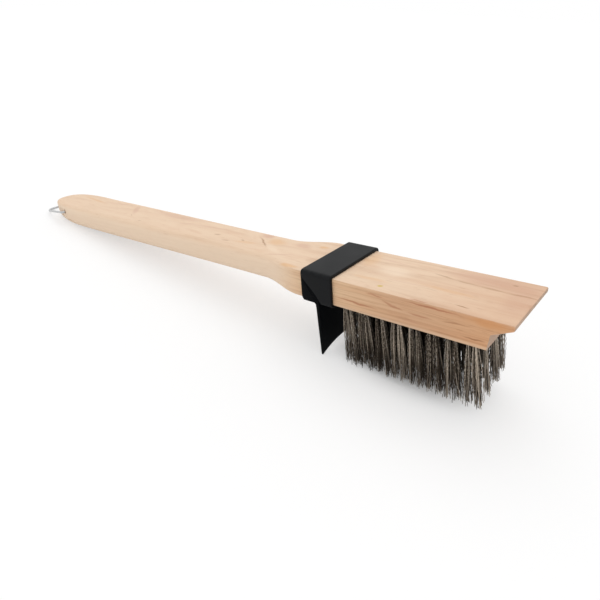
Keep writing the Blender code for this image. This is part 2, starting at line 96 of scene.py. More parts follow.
# Single marks in the wood, in millimetres: their middle, half length, half width, turn in degrees, strength
# and tint. On the top the middle is along and across, and on the near side it is along and up.
millimetre = 0.001
top_marks = (
    (-86, 2.5, 17, 10, 0, 0.65, "pale"),
    (-28, 18, 40, 11.5, -2, 0.62, "pink"),
    (-7, 0, 13, 26, 0, 0.4, "pink"),
    (-56, 11, 10, 1.4, -11, 0.48, "dark"),
    (-41, 9.1, 10.5, 1.3, -3, 0.48, "dark"),
    (-25, 8.1, 12.5, 1.3, -4, 0.48, "dark"),
    (-8, 7.8, 11.5, 1.3, 2, 0.48, "dark"),
    (-16, 19, 2.4, 0.9, 5, 0.85, "dark"),
    (-31.5, -19.7, 6.5, 0.8, -6, 0.85, "dark"),
    (-55, -25.8, 7, 0.9, 0, 0.75, "red"),
    (-83.5, -20, 3, 2, 10, 0.95, "olive"),
    (-109, 12, 7.5, 14, 0, 0.4, "orange"),
    (-96, 16, 22, 1.6, -4, 0.35, "pink"),
    (-70, -8, 26, 1.2, 3, 0.3, "pink"),
    (-46, -6, 24, 3, -2, 0.35, "orange"),
    (-95, -14, 18, 2.4, 2, 0.35, "orange"),
    (-167, 9.5, 11, 5.5, -10, 0.6, "pink"),
    (-151, 14, 5, 3.4, 0, 0.6, "orange"),
    (-154, -23.5, 12, 3.4, 0, 0.65, "orange"),
    (-172, -12, 15, 1.6, 24, 0.45, "pink"),
    (-185, -5, 16, 4, -28, 0.5, "pale"),
    (-204.5, 13, 9.5, 7, 0, 0.78, "pink"),
    (-190, 6, 11.5, 8, 0, 0.5, "orange"),
    (-200.5, 1.5, 13.5, 1.1, -34, 0.8, "dark"),
    (-212, -6, 16, 3, 12, 0.35, "orange"),
    (-246, -4, 4.5, 1.2, 20, 0.55, "dark"),
    (-217, -4, 3.6, 1.2, -20, 0.5, "dark"),
    (-230, -10, 4.2, 1.1, 20, 0.5, "dark"),
    (-235, 5, 15, 3.6, 12, 0.45, "warm"),
    (-270, -8, 18, 3, -10, 0.4, "warm"),
    (-290, 2, 12, 1.6, 25, 0.45, "pink"),
    (-262, 6, 30, 2.4, 5, 0.35, "pink"),
    (-314, 11.5, 42, 7, 0, 0.55, "pink"),
    (-340, -12, 3, 0.8, 10, 0.6, "dark"),
    (-362, -6, 2.4, 0.7, -25, 0.6, "dark"),
    (-370.5, 6, 16.5, 4, -49, 0.6, "pink"),
    (-400, 12, 30, 1.8, 6, 0.5, "pink"),
    (-445, 8, 30, 2.4, -6, 0.45, "orange"),
)
side_marks = (
    (-14, -2.5, 15, 4.2, 0, 0.6, "orange"),
    (-97, -12.2, 19, 0.9, -2, 0.9, "red"),
    (-45.5, -1.8, 23, 0.9, 0, 0.8, "red"),
    (-83, -3.6, 8.5, 0.9, 0, 0.6, "red"),
    (-71.5, -7, 9, 1.1, -15, 0.6, "red"),
    (-53.5, -9, 10.5, 1, 2, 0.6, "red"),
    (-58, -14.5, 9.5, 0.8, 0, 0.6, "pink"),
    (-21, -14, 8.5, 0.8, 0, 0.85, "dark"),
    (-33, -7.5, 12, 0.7, 4, 0.6, "dark"),
    # Painted shade in and round the mouth of the loop's hole
    (-457.5, -5.5, 2.4, 3.4, 0, 0.95, "dark"),
    (-470, -11, 6, 1.2, 12, 0.6, "dark"),
    (-450, -13, 7, 1.2, -4, 0.55, "dark"),
)

# How a mark fades in from its edge, and how its edge wanders
mark_fade = (1.0, 0.25)
wander_scale = 95.0
wander_depth = (0.006, 0.0032, 0.0028)

# Knots: middle along and across, half length, half width, and how far they push the rings aside
knots = (
    (-0.203, 0.002, 0.016, 0.010, 0.0085),
    (-0.318, 0.012, 0.030, 0.009, 0.0045),
    (-0.412, 0.004, 0.022, 0.010, 0.0050),
    (-0.060, 0.014, 0.040, 0.012, -0.0030),
)
natural_base = 2.718

# Rings: the line they go round, their width, and how they sway
pith_height = -0.058
pith_slope = 0.030
pith_aside = 0.010
ring_width = 0.0031
sway_scale = (5.0, 26.0, 26.0)
sway_depth = 0.0055
late_rise = (0.35, 0.97)
late_fall = (1.0, 0.975)

# Noises drawn out along the wood: scale along, across and up, detail, and roughness
bands_noise = ((4.5, 120.0, 150.0), 3.0, 0.6)
streaks_noise = ((22.0, 900.0, 900.0), 3.0, 0.65)
fine_noise = ((60.0, 3200.0, 3200.0), 2.0, 0.6)
mottle_noise = ((60.0, 200.0, 260.0), 3.0, 0.6)
side_lines_noise = ((16.0, 520.0, 1150.0), 3.0, 0.6)
pore_scale = (95.0, 1150.0, 1150.0)

# Other noises: scale, and detail where it isn't 2, and roughness
wood_rubbed_noise = (240.0, 3.0)
plastic_grain_noise = (2600.0, 2.0, 0.6)
plastic_cloud_noise = (55.0, 3.0)
plastic_scratch_noise = ((260.0, 1900.0, 260.0),)
plastic_rub_and_highlight_noise = (420.0, 3.0)
tarnish_noise = (160.0, 3.0)
loop_scratch_noise = ((120.0, 4200.0, 4200.0), 3.0, 0.6)
screw_scratch_noise = ((900.0, 900.0, 2600.0), 3.0, 0.6)
wire_patch_noise = (900.0,)
# Painted glints on the wires: bright speckles that stand in for highlights on the crimps
painted_glint_noise = (1500.0, 1.0)

# Tints of the wood besides the board's own colours
wood_tints = {
    "pale": (0.88, 0.70, 0.53),
    "red": (0.50, 0.235, 0.135),
    "orange": (0.74, 0.43, 0.20),
    "pink": (0.66, 0.42, 0.30),
    "olive": (0.62, 0.44, 0.10),
    "pale streak": (0.87, 0.69, 0.52),
    # Painted light that lifts the handle's round sides to the brightness of its top
    "painted side light": (0.90, 0.72, 0.55),
    "side line": (0.52, 0.30, 0.18),
    "lower edge": (0.74, 0.54, 0.38),
    "front": (0.34, 0.21, 0.14),
}

# Tints of the loop's and the screws' steel
dull_loop_steel = (0.36, 0.35, 0.33)
zinc = (0.52, 0.52, 0.50)
dull_zinc = (0.30, 0.29, 0.27)

# Where the wood's looks change, from and to: by how far a face looks up, ahead or aside, along the board,
# and for the lower edge in height
facing_up = (0.35, 0.8)
facing_ahead = (0.5, 0.9)
facing_aside = (0.45, 0.9)
facing_near = (-0.4, -0.85)
head_looks = (-0.170, -0.135)
nose_top_looks = (-0.085, -0.008)
lower_edge_looks = (-0.0160, -0.0180)

# Colours that the wood is multiplied by: the top at the nose, and the head's sides from collar to nose. On the
# sides they are partly the side grain's own brown and partly painted shade, which deepens towards the nose
nose_top_brown = (0.925, 0.85, 0.81)
collar_side_brown = (1.0, 0.92, 0.80)
side_browns_and_shade = (((-0.115, -0.060), (0.86, 0.71, 0.59)), ((-0.060, -0.010), (0.88, 0.67, 0.51)))

# Gloss of the wood, and depth of each finish's relief
wood_gloss = 0.35
wood_relief = 0.0001
plastic_relief = 0.00003
steel_relief = 0.00002

# Tuft holes and the mouths of the loop's hole
tuft_columns = 8
tuft_rows = 4
tuft_pitch = 0.01195
tuft_row_inset = 0.0072
first_tuft_from_nose = 0.0246
tuft_hole_radius = 0.0036
tuft_hole_shown_depth = 0.003
loop_hole_radius = 0.0014
loop_hole_shown_depth = 0.0022
loop_hole_from_end = 0.036
loop_hole_below_top = 0.0060

# Tufts: each is a folded bundle, and its two halves start apart and spread on the way down
bristle_length = 0.0425
nose_trim = 0.0002
side_lean = 0.0015
nose_lean = 0.0044
rear_more_lean = 0.0011
far_row_lean_share = 0.25
foremost_splay = 0.0005
root_depth = 0.002
side_margin = 0.0008
floor_clearance = 0.0004
fold_apart = 0.0020
fold_half_length = 0.00085
fold_half_width = 0.0015
fold_spread_share = 0.62
bundle_spread_shares = (1.5, 1.7)
wire_stray = 0.0008
loose_stray = 0.0023
loose_share = 0.06
wire_bow = 0.0007
splay_fade = 3.0
ragged_power = 1.6
spread_power = 1.1
crimp_shift_share = 0.9
crimp_start = 6.0
crimp_least_share = 0.3
crimp_fade = 0.6
golden_turn = math.pi * (3 - math.sqrt(5))

# Where shade is painted on the inside of the block of tufts, from and to: across, and along at its front and rear
painted_shade_across = (0.0225, 0.0175)
painted_shade_front = (-0.0215, -0.0275)
painted_shade_rear = (-0.1125, -0.1085)
painted_shade_lean = 0.006

# Collar
touch_gap = 0.0003
collar_from_nose = 0.1146
collar_length = 0.0246
collar_top_wall = 0.0020
collar_bottom_wall = 0.0015
collar_side_wall = 0.0008
collar_panel_rise = 0.0012
collar_corner_radius = 0.0029
panel_edge_shares = ((-0.02, 0.18), (0.36, 0.565), (0.49, 0.71), (0.57, 0.83), (0.63, 0.905), (0.71, 0.96),
                     (0.80, 1.02))

# Scraper
wing_thickness = 0.0006
wing_bottom_drop = 0.0010
wing_corner_radius = 0.0030
base_plate_thickness = 0.0016
base_plate_margin = 0.0015
base_plate_length = 0.0154
base_plate_end_inset = 0.0070
blade_from_collar_rear = 0.0114
blade_shoulder = 0.0011
blade_height = 0.0381
blade_lean = 0.0022
blade_top_thickness = 0.0026
blade_edge_thickness = 0.0014
blade_arch_height = 0.0054
blade_arch_power = 2.2
blade_rounding = 0.00035
wing_rounding = 0.0002
wing_softening = 0.0004
plate_rounding = 0.0003
plate_softening = 0.0008
softening_limit_share = 0.45
rim_wear = 0.9
blade_inset_share = 0.9
panel_step_wear = 0.4

# Hang loop
loop_reach = 0.0489
loop_end_width = 0.036
loop_corner_radius = 0.015
loop_floor_gap = 0.0001
loop_bend_radius = 0.0022
loop_tail_length = 0.012

neck_from_nose = flare_start + flare_length
collar_rear = -(collar_from_nose + collar_length)
collar_front = -collar_from_nose
collar_top = touch_gap + collar_top_wall
blade_rear = collar_rear + blade_from_collar_rear

# Fineness of the surfaces
hole_grid = 0.0005
mouth_grid = 0.0004
rim_catch_share = 0.55
edge_steps = 7
tip_steps = 5
end_steps = 44
outline_reach = 1e-5
least_gradient = 1e-6
top_columns = 24
bottom_columns = 107
wall_columns = 20
panel_step = 0.0003
collar_rings = 60
collar_top_columns = 14
collar_rim_steps = 4
collar_corner_steps = 8
collar_row_steps = 18
softened_steps = 5
slab_rim_steps = 3
wing_corner_steps = 6
blade_columns = 57
blade_rings = 40
blade_corner_steps = 3
blade_edge_steps = 4
loop_sides = 24
loop_tail_steps = 9
loop_bend_steps = 12
loop_leg_steps = 26
loop_corner_steps = 18
loop_bar_steps = 10
blade_wear_height = 0.0012
weld_distance = 1e-6

# Studio
floor_size = 8.0
key_lamp_place = (-0.40, 0.45, 1.0)
key_lamp_spread = math.radians(50)
contact_middle = (-0.066, 0.0, 0.0)
contact_size = (0.066, 0.040, 1.0)
contact_fade = (1.0, 0.35)
sensor_width = 36.0
nearest_seen = 0.01
white = (1.0, 1.0, 1.0)
camera_directions = ((0.7742, 0.6285, -0.0746), (0.2352, -0.3951, -0.888), (-0.5876, 0.6699, -0.4537))
camera_shift = (0.12605, 0.00311, 0.28535)


def unit(vector):
    """The vector over its length."""
    return np.asarray(vector, float) / np.linalg.norm(vector)


def lying_axes():
    """The brush's own axes as columns, and the place of its origin, from the mount on the collar's top."""
    mount = next(m for m in frame["record"]["mounts"] if m["name"] == "collar_top_face")
    up = unit(mount["axis"])
    across = np.array([0.0, 1.0, 0.0])
    axes = np.column_stack([np.cross(across, up), across, up])
    return axes, np.array(mount["pos_m"]) - axes @ np.array(collar_mount_place)


own_axes, own_origin = lying_axes()


def laid_down(points):
    """Points along the brush's own axes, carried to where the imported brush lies."""
    return points @ own_axes.T + own_origin


def ease(share):
    """Smooth step from 0 to 1."""
    share = np.clip(share, 0.0, 1.0)
    return share * share * (3 - 2 * share)


def quarter(steps):
    """Angles from 0 to a right angle, both ends kept."""
    return np.linspace(0.0, math.pi / 2, steps + 1)


def ring_quads(rings, size):
    """Quads between neighbouring closed rings of points that are numbered ring by ring."""
    first = np.arange(rings - 1)[:, None] * size
    here = np.arange(size)[None, :]
    following = (here + 1) % size
    quads = [first + here, first + following, first + size + following, first + size + here]
    return np.stack(quads, axis=-1).reshape(-1, 4).tolist()


def capped_rings(rings, size):
    """Quads between the rings, and a face over the first ring and over the last."""
    last = size * (rings - 1)
    return ring_quads(rings, size) + [list(range(size))[::-1], list(range(last, last + size))]


def enclosed(points, faces):
    """Six times the volume inside the faces, negative where they point inwards, summed over their corners."""
    total = 0.0
    for sides in {len(face) for face in faces}:
        corners = points[np.array([face for face in faces if len(face) == sides])]
        for i in range(1, sides - 1):
            total += np.einsum("ij,ij->", corners[:, 0], np.cross(corners[:, i], corners[:, i + 1]))
    return total


def outward(points, faces):
    """The faces, turned round if they point inwards."""
    return faces if enclosed(points, faces) > 0 else [face[::-1] for face in faces]


def in_scene(name, data):
    """A new object of the scene."""
    thing = bpy.data.objects.new(name, data)
    bpy.context.scene.collection.objects.link(thing)
    return thing


def finished_piece(name, points, faces, material, body, node, smooth, values):
    """An object from points along the brush's own axes and a closed shell's faces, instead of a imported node.

    Values are numbers or vectors for each point, kept under their names for the material to read. Points at
    the same place become one, and edges sharper than smooth degrees stay crisp.
    """
    points = np.asarray(points, float)
    mesh = bpy.data.meshes.new(name)
    mesh.from_pydata(laid_down(points).tolist(), [], outward(points, faces))
    for label, value in values.items():
        value = np.asarray(value, np.float32)
        kind, field = ("FLOAT", "value") if value.ndim == 1 else ("FLOAT_VECTOR", "vector")
        mesh.attributes.new(label, kind, "POINT").data.foreach_set(field, value.ravel())
    shape = bmesh.new()
    shape.from_mesh(mesh)
    bmesh.ops.remove_doubles(shape, verts=shape.verts, dist=weld_distance)
    shape.to_mesh(mesh)
    shape.free()
    mesh.shade_smooth()
    mesh.set_sharp_from_angle(angle=math.radians(smooth))
    mesh.materials.append(material)
    piece = in_scene(name, mesh)
    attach(piece, body)
    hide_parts(node)


def joined_by(operation, turned=False):
    """A method that joins a Value and another number by a Math node, with the other first if turned."""
    def method(self, other):
        return self.finish.maths(operation, *((other, self) if turned else (self, other)))

    return method


class Value:
    """The output of a node. Sums, differences, products, quotients and powers of it add Math nodes."""

    __add__, __radd__ = joined_by("ADD"), joined_by("ADD", True)
    __sub__, __rsub__ = joined_by("SUBTRACT"), joined_by("SUBTRACT", True)
    __mul__, __rmul__ = joined_by("MULTIPLY"), joined_by("MULTIPLY", True)
    __truediv__, __rtruediv__ = joined_by("DIVIDE"), joined_by("DIVIDE", True)
    __pow__, __rpow__ = joined_by("POWER"), joined_by("POWER", True)

    def __init__(self, finish, socket):
        self.finish = finish
        self.socket = socket


class Finish:
    """The nodes of a material or of the world, and the few joins of them that the finishes here share."""

    def __init__(self, owner):
        owner.use_nodes = True
        self.owner = owner
        self.tree = owner.node_tree
        self.tree.nodes.clear()

    def node(self, kind, settings=None, sockets=None, output=0):
        """Adds a node, sets its settings and then its sockets to values or links, and returns one output."""
        made = self.tree.nodes.new(kind)
        for setting, value in (settings or {}).items():
            setattr(made, setting, value)
        for name, value in (sockets or {}).items():
            socket = made.inputs[name]
            if isinstance(value, Value):
                self.tree.links.new(value.socket, socket)
            elif socket.type == "RGBA":
                socket.default_value = (*value, 1.0)
            else:
                socket.default_value = value
        return Value(self, made.outputs[output]) if made.outputs else made

    def maths(self, operation, first, second=0.0):
        """The result of a Math node, for operations that no sign stands for too."""
        return self.node("ShaderNodeMath", {"operation": operation}, {0: first, 1: second})

    def blend(self, share, first, second, how="MIX"):
        """The colour that goes from first to second as the share goes from 0 to 1."""
        return self.node("ShaderNodeMix", {"data_type": "RGBA", "blend_type": how},
                         {0: share, 6: first, 7: second}, output=2)

    def layered(self, colour, layers):
        """The colour with each layer's tint laid over it by the layer's share, in order."""
        for share, tint in layers:
            colour = self.blend(share, colour, tint)
        return colour

    def step(self, value, low, high):
        """0 below low, 1 above high, and a smooth step between them; the other way round if high is less."""
        turned = high < low
        share = self.node("ShaderNodeMapRange", {"interpolation_type": "SMOOTHSTEP"},
                          {"Value": value, "From Min": min(low, high), "From Max": max(low, high)})
        return 1 - share if turned else share

    def noise(self, place, scale, detail=2.0, roughness=0.5):
        """Noise from 0 to 1. A scale of three numbers draws it out along some directions."""
        if isinstance(scale, tuple):
            place, scale = self.stretched(place, scale), 1.0
        return self.node("ShaderNodeTexNoise", None,
                         {"Vector": place, "Scale": scale, "Detail": detail, "Roughness": roughness})

    def stretched(self, place, scale):
        """The place with each of its directions multiplied, so that a pattern is drawn out along some."""
        return self.node("ShaderNodeMapping", {"vector_type": "POINT"}, {"Vector": place, "Scale": scale})

    def oval(self, where, middle, size, turn):
        """How far a place is from the middle of a turned oval, 1 on its edge."""
        inside = self.node("ShaderNodeMapping", {"vector_type": "TEXTURE"},
                           {"Vector": where, "Location": middle, "Rotation": turn, "Scale": size})
        return self.node("ShaderNodeVectorMath", {"operation": "LENGTH"}, {0: inside}, output="Value")

    def object_place(self):
        """Object coordinates, which are the scene's, because every piece sits at its origin."""
        return self.node("ShaderNodeTexCoord", output="Object")

    def own_place(self):
        """Object coordinates turned and moved to the brush's own axes."""
        tilt = math.atan2(own_axes[2, 0], own_axes[0, 0])
        return self.node("ShaderNodeMapping", {"vector_type": "POINT"},
                         {"Vector": self.object_place(), "Rotation": (0.0, tilt, 0.0),
                          "Location": -own_axes.T @ own_origin})

    def parts(self, vector):
        """The three numbers of a vector."""
        made = self.node("ShaderNodeSeparateXYZ", None, {"Vector": vector})
        return [Value(self, socket) for socket in made.socket.node.outputs]

    def number(self, name):
        """A number that the mesh keeps for each point."""
        return self.node("ShaderNodeAttribute", {"attribute_name": name}, output="Fac")

    def vector(self, name):
        """A vector that the mesh keeps for each point."""
        return self.node("ShaderNodeAttribute", {"attribute_name": name}, output="Vector")

    def surface(self, sockets, height=None, depth=None):
        """Ends the material in a Principled shader, with a bump of the given depth if there is a height."""
        if height is not None:
            bump = self.node("ShaderNodeBump", None, {"Height": height, "Distance": depth, "Strength": 1.0})
            sockets = {**sockets, "Normal": bump}
        shader = self.node("ShaderNodeBsdfPrincipled", None, sockets)
        self.node("ShaderNodeOutputMaterial", None, {"Surface": shader})
        return self.owner


def new_finish(name):
    """A new material of that name, with no nodes yet."""
    return Finish(bpy.data.materials.new(name))


def colour_choice(name, description, default):
    return bpy.props.FloatVectorProperty(name=name, description=description, default=default, size=3,
                                         min=0.0, max=1.0, subtype="COLOR")


def length_choice(name, description, default):
    return bpy.props.FloatProperty(name=name, description=description, default=default, min=0.0,
                                   precision=5, unit="LENGTH", subtype="DISTANCE")


def share_choice(name, description, default, most=1.0):
    return bpy.props.FloatProperty(name=name, description=description, default=default, min=0.0, max=most,
                                   subtype="FACTOR")


class BoardSettings(bpy.types.PropertyGroup):
    """Sizes and colours of the wooden board."""

    length: length_choice("Length", "From the tip of the nose to the end of the handle", 0.4935)
    thickness: length_choice("Thickness", "Thickness of the board", 0.019)
    head_width: length_choice("Head width", "Width of the head", 0.054)
    neck_width: length_choice("Neck width", "Width of the handle behind the head", 0.0434)
    grip_width: length_choice("Grip width", "Width of the handle where it is widest", 0.0476)
    head_edge_radius: length_choice("Head edge radius", "Radius of the long edges of the head", 0.0008)
    grip_edge_radius: length_choice("Grip edge radius", "Most radius of the edges of the handle", 0.008)
    pale: colour_choice("Pale wood", "Colour of the wood between its dark lines", (0.80, 0.60, 0.43))
    warm: colour_choice("Warm wood", "Colour of the broad warmer bands", (0.72, 0.485, 0.325))
    dark: colour_choice("Dark grain", "Colour of the thin dark lines and pores", (0.43, 0.245, 0.135))


class BristleSettings(bpy.types.PropertyGroup):
    """Number, shape and colours of the steel bristles."""

    wires: bpy.props.IntProperty(name="Wires", description="Wires in each tuft", default=84, min=8, max=400)
    wire_diameter: length_choice("Wire diameter", "Thickness of a bristle", 0.00038)
    crimp_pitch: length_choice("Crimp pitch", "Length of one wave of the crimped wire", 0.0036)
    crimp_depth: length_choice("Crimp depth", "Depth of the waves to each side", 0.00030)
    raggedness: length_choice("Raggedness", "Most that a bristle is shorter than the longest", 0.0046)
    pale: colour_choice("Pale wire", "Colour of the brightest bristles", (0.78, 0.67, 0.55))
    dark: colour_choice("Dark wire", "Colour of the darkest bristles", (0.080, 0.062, 0.046))
    # The shade painted on the wires inside the block of tufts, at their roots and towards their tips
    painted_shade: colour_choice("Painted shade", "Colour of the shade painted on the wire between the tufts", (0.010, 0.0065, 0.0045))


class PlasticSettings(bpy.types.PropertyGroup):
    """Finish of the collar and the scraper."""

    colour: colour_choice("Colour", "Colour of the moulded plastic", (0.0022, 0.0027, 0.0035))
    # Paler colour of the edges: partly rubbed wear and partly painted highlight
    worn_and_highlit: colour_choice("Worn and highlit colour", "Colour of the plastic where it is rubbed", (0.011, 0.012, 0.0135))
    roughness: share_choice("Roughness", "Roughness of the satin surface", 0.5)
    collar_gloss: share_choice("Collar gloss", "Strength of the collar's gloss", 0.145)
    scraper_gloss: share_choice("Scraper gloss", "Strength of the scraper's gloss", 0.03)
    end_rounding: length_choice("End rounding", "Radius of the sleeve's open edges", 0.0007)


class LoopSettings(bpy.types.PropertyGroup):
    """Wire and colour of the hang loop."""

    wire_diameter: length_choice("Wire diameter", "Thickness of the loop's wire", 0.0022)
    colour: colour_choice("Colour", "Colour of the bright steel", (0.50, 0.505, 0.51))


class StageSettings(bpy.types.PropertyGroup):
    """Light, floor and camera."""

    sky: share_choice("Sky", "Strength of the even light from all sides", 0.86, 2.0)
    key: share_choice("Key light", "Strength of the far soft lamp overhead", 0.62, 10.0)
    floor: colour_choice("Floor", "Colour of the floor", (0.90, 0.90, 0.90))
    shadow: share_choice("Shadow", "How much of the wide soft shadow the floor shows", 0.46)
    contact: share_choice("Contact shadow", "How much more of it the floor shows close to the bristles", 0.40)
    focal_length: bpy.props.FloatProperty(name="Focal length", description="Focal length of the camera",
                                          default=31.694, min=1.0, unit="CAMERA")


settings_groups = {
    "brush_board": BoardSettings,
    "brush_bristles": BristleSettings,
    "brush_plastic": PlasticSettings,
    "brush_loop": LoopSettings,
    "brush_stage": StageSettings,
}


def past_head(behind_nose):
    """0 on the head and 1 on the handle, with a smooth step along the flare."""
    return ease((behind_nose - flare_start) / flare_length)


def half_width(board, behind_nose):
    """Half the board's width in plan: straight head, S-shaped flare, swelling grip, blunt oval end."""
    head, neck, grip = board.head_width / 2, board.neck_width / 2, board.grip_width / 2
    end_at = board.length - end_length
    flare = head + (neck - head) * past_head(behind_nose)
    swell = neck + (grip - neck) * ease((behind_nose - neck_from_nose) / (end_at - neck_from_nose))
    share = np.clip((behind_nose - end_at) / end_length, 0.0, 1.0)
    end = grip * (1 - share ** end_power) ** (1 / end_power)
    return np.where(behind_nose <= neck_from_nose, flare, np.where(behind_nose <= end_at, swell, end))


def long_edge_radius(board, behind_nose, at_tip):
    """Radius of a long edge: almost sharp on the head, round on the grip, at_tip at the handle's end."""
    on_grip = min(board.grip_edge_radius, edge_limit_share * board.thickness)
    past_grip = ease((behind_nose - board.length + end_length) / end_length)
    full = on_grip + (at_tip - on_grip) * past_grip
    return board.head_edge_radius + (full - board.head_edge_radius) * past_head(behind_nose)


def underside(board, behind_nose):
    """Height of the underside: the wedge of the nose, the block's face, the flat, and the rise at the end."""
    wedge = nose_tip_thickness + (nose_root_thickness - nose_tip_thickness) * behind_nose / nose_length
    step = np.clip((behind_nose - nose_length) / block_face_slant, 0.0, 1.0)
    block = nose_root_thickness + (board.thickness - nose_root_thickness) * step
    share = np.clip((behind_nose - board.length + end_rise_length) / end_rise_length, 0.0, 1.0)
    return np.where(behind_nose < nose_length, -wedge, -block + end_rise * (1 - np.sqrt(1 - share * share)))


def inside_outline(board, behind_nose, across):
    """Distance from the board's plan outline, inwards.

    On the head and grip it is the distance across, times the cosine of the outline's slope. On the end it is
    the oval's equation over its gradient, and the one blends into the other.
    """
    half = half_width(board, behind_nose)
    after, before = (half_width(board, behind_nose + reach) for reach in (outline_reach, -outline_reach))
    slope = (after - before) / (2 * outline_reach)
    straight = (half - abs(across)) / np.sqrt(1 + slope * slope)
    end_share = np.clip((behind_nose - board.length + end_length) / end_length, 0.0, 1.0)
    side_share = abs(across) / (board.grip_width / 2)
    size = end_share ** end_power + side_share ** end_power
    gradient = np.hypot(end_share ** (end_power - 1) / end_length,
                        side_share ** (end_power - 1) / (board.grip_width / 2))
    curved = (size ** (1 - 1 / end_power) - size) / np.maximum(gradient, least_gradient)
    return straight + (curved - straight) * end_share ** 2


def board_stations(board):
    """Distances behind the nose at which the board has a ring: close over the holes and at both ends."""
    nose_end = nose_length + block_face_slant
    tufts_from = first_tuft_from_nose - tuft_hole_radius - hole_grid
    tufts_to = first_tuft_from_nose + (tuft_columns - 1) * tuft_pitch + tuft_hole_radius + hole_grid
    end_at = board.length - end_length
    loop_at = board.length - loop_hole_from_end
    runs = [(tip_rounding, nose_length, 8),
            (nose_length, nose_end, 4),
            (nose_end, tufts_from, 6),
            (tufts_from, tufts_to, round((tufts_to - tufts_from) / hole_grid) + 1),
            (tufts_to, flare_start, 8),
            (flare_start, neck_from_nose, 26),
            (neck_from_nose, end_at, 40),
            (loop_at - 2 * loop_hole_radius, loop_at + 2 * loop_hole_radius, 17)]
    tip = tip_rounding * (1 - np.cos(quarter(tip_steps)))
    end = end_at + end_length * np.sin(quarter(end_steps))
    stations = np.concatenate([tip, *(np.linspace(*run) for run in runs), end])
    return np.unique(np.round(stations, 6))


def drilled(places, centres, radius, spacing):
    """Places in a plane with those near a hole's rim moved onto it, and whether each is inside a hole."""
    offset = places[..., None, :] - np.asarray(centres)
    distance = np.linalg.norm(offset, axis=-1)
    nearest = distance.argmin(axis=-1)[..., None]
    offset = np.take_along_axis(offset, nearest[..., None], axis=-2)[..., 0, :]
    distance = np.take_along_axis(distance, nearest, axis=-1)
    on_rim = abs(distance - radius) < rim_catch_share * spacing
    moved = places + np.where(on_rim, offset * (radius / np.maximum(distance, spacing / 10) - 1), 0.0)
    inside = (distance < radius) & ~on_rim
    return moved, inside[..., 0]


def tuft_centres(board):
    """Centre of each tuft, row 1 on the near side and column 1 at the nose."""
    spacing = (board.head_width - 2 * tuft_row_inset) / (tuft_rows - 1)
    return {(row + 1, column + 1): (-(first_tuft_from_nose + column * tuft_pitch),
                                    (row - (tuft_rows - 1) / 2) * spacing)
            for row in range(tuft_rows) for column in range(tuft_columns)}


def across_face(columns):
    """A face's points from side to side, as shares of the half width and of the edge's radius."""
    bend = 1 - np.cos(quarter(edge_steps)[:-1])
    flat, side = np.linspace(-1.0, 1.0, columns), np.ones(edge_steps)
    return np.concatenate([-side, flat, side]), np.concatenate([bend, -flat, -bend[::-1]])


def ring_wear():
    """How worn each point of a ring is: most in the middle of its four round edges."""
    edge, wall = np.sin(2 * quarter(edge_steps)[:-1]), np.zeros(wall_columns)
    top, bottom = (np.concatenate([edge, np.zeros(columns), edge[::-1]])
                   for columns in (top_columns, bottom_columns))
    return np.concatenate([top, wall, bottom, wall])


def board_surface(board):
    """The board as rings round it, one for each station along it, and how worn each of their points is.

    A point of a ring is a side's share of the half width less a share of the edge's radius. Its height is the
    top or the underside, less the drop of a round edge at its distance from the plan outline. The walls run
    between. At the tip of the nose the rings draw in along a quarter circle. Points over a tuft's hole or in
    the mouth of the loop's hole are sunk into it.
    """
    behind = board_stations(board)[:, None]
    full_half = half_width(board, behind)
    slope = np.gradient(full_half[:, 0], behind[:, 0])[:, None]
    round_off = np.clip(1 - behind / tip_rounding, 0.0, 1.0)
    inset = tip_rounding * (1 - np.sqrt(1 - round_off ** 2))
    half, top, bottom = full_half - inset, -inset, underside(board, behind) + inset
    most = 2 * edge_limit_share * (top - bottom)
    upper_radius = np.minimum(long_edge_radius(board, behind, end_top_radius), most / 2)
    lower_radius = np.minimum(long_edge_radius(board, behind, end_bottom_radius), most - upper_radius)

    def face(columns, height, radius, sign):
        sides, bends = across_face(columns)
        across = sides * half + bends * np.minimum(radius * np.sqrt(1 + slope ** 2), full_half)
        inside = np.clip(inside_outline(board, behind, across), 0.0, radius)
        drop = radius - np.sqrt(radius ** 2 - (radius - inside) ** 2)
        return np.stack([np.broadcast_to(-behind, across.shape), across, height - sign * drop], axis=-1)

    upper = face(top_columns, top, upper_radius, 1)
    lower = face(bottom_columns, bottom, lower_radius, -1)
    flat = slice(edge_steps, -edge_steps)
    tufts = list(tuft_centres(board).values())
    lower[:, flat, :2], sunk = drilled(lower[:, flat, :2], tufts, tuft_hole_radius, hole_grid)
    lower[:, flat, 2] += sunk * tuft_hole_shown_depth

    down = np.linspace(0.0, 1.0, wall_columns + 2)[1:-1]
    wall = np.empty((len(behind), wall_columns, 3))
    wall[..., 0] = -behind
    wall[..., 1] = half
    wall[..., 2] = (top - upper_radius) * (1 - down) + (bottom + lower_radius) * down
    mouth = [(loop_hole_from_end - board.length, -loop_hole_below_top)]
    wall[..., ::2], sunk = drilled(wall[..., ::2], mouth, loop_hole_radius, mouth_grid)
    wall[..., 1] -= sunk * loop_hole_shown_depth

    points = np.concatenate([upper, wall, lower[:, ::-1], wall[:, ::-1] * (1, -1, 1)], axis=1)
    return points, np.maximum(ring_wear() * (1 - past_head(behind)), round_off)


def make_board(board):
    """The board's rings, with a face over the first. The last has no width, so it closes by itself."""
    points, wear = board_surface(board)
    rings, size = points.shape[:2]
    faces = ring_quads(rings, size) + [list(range(size))[::-1]]
    finished_piece("pale_wood_board", points.reshape(-1, 3), faces, wood_finish(board), "brush",
                   "wooden_board", 32, {"wear": wear.ravel()})


def knot_shift(along, across):
    """How far the rings are pushed aside: swellings, each e to the power of minus its squared distance."""
    def swelling(at, across_at, long, wide):
        return natural_base ** (0 - ((along - at) / long) ** 2 - ((across - across_at) / wide) ** 2)

    return sum(swelling(*oval) * most for *oval, most in knots)


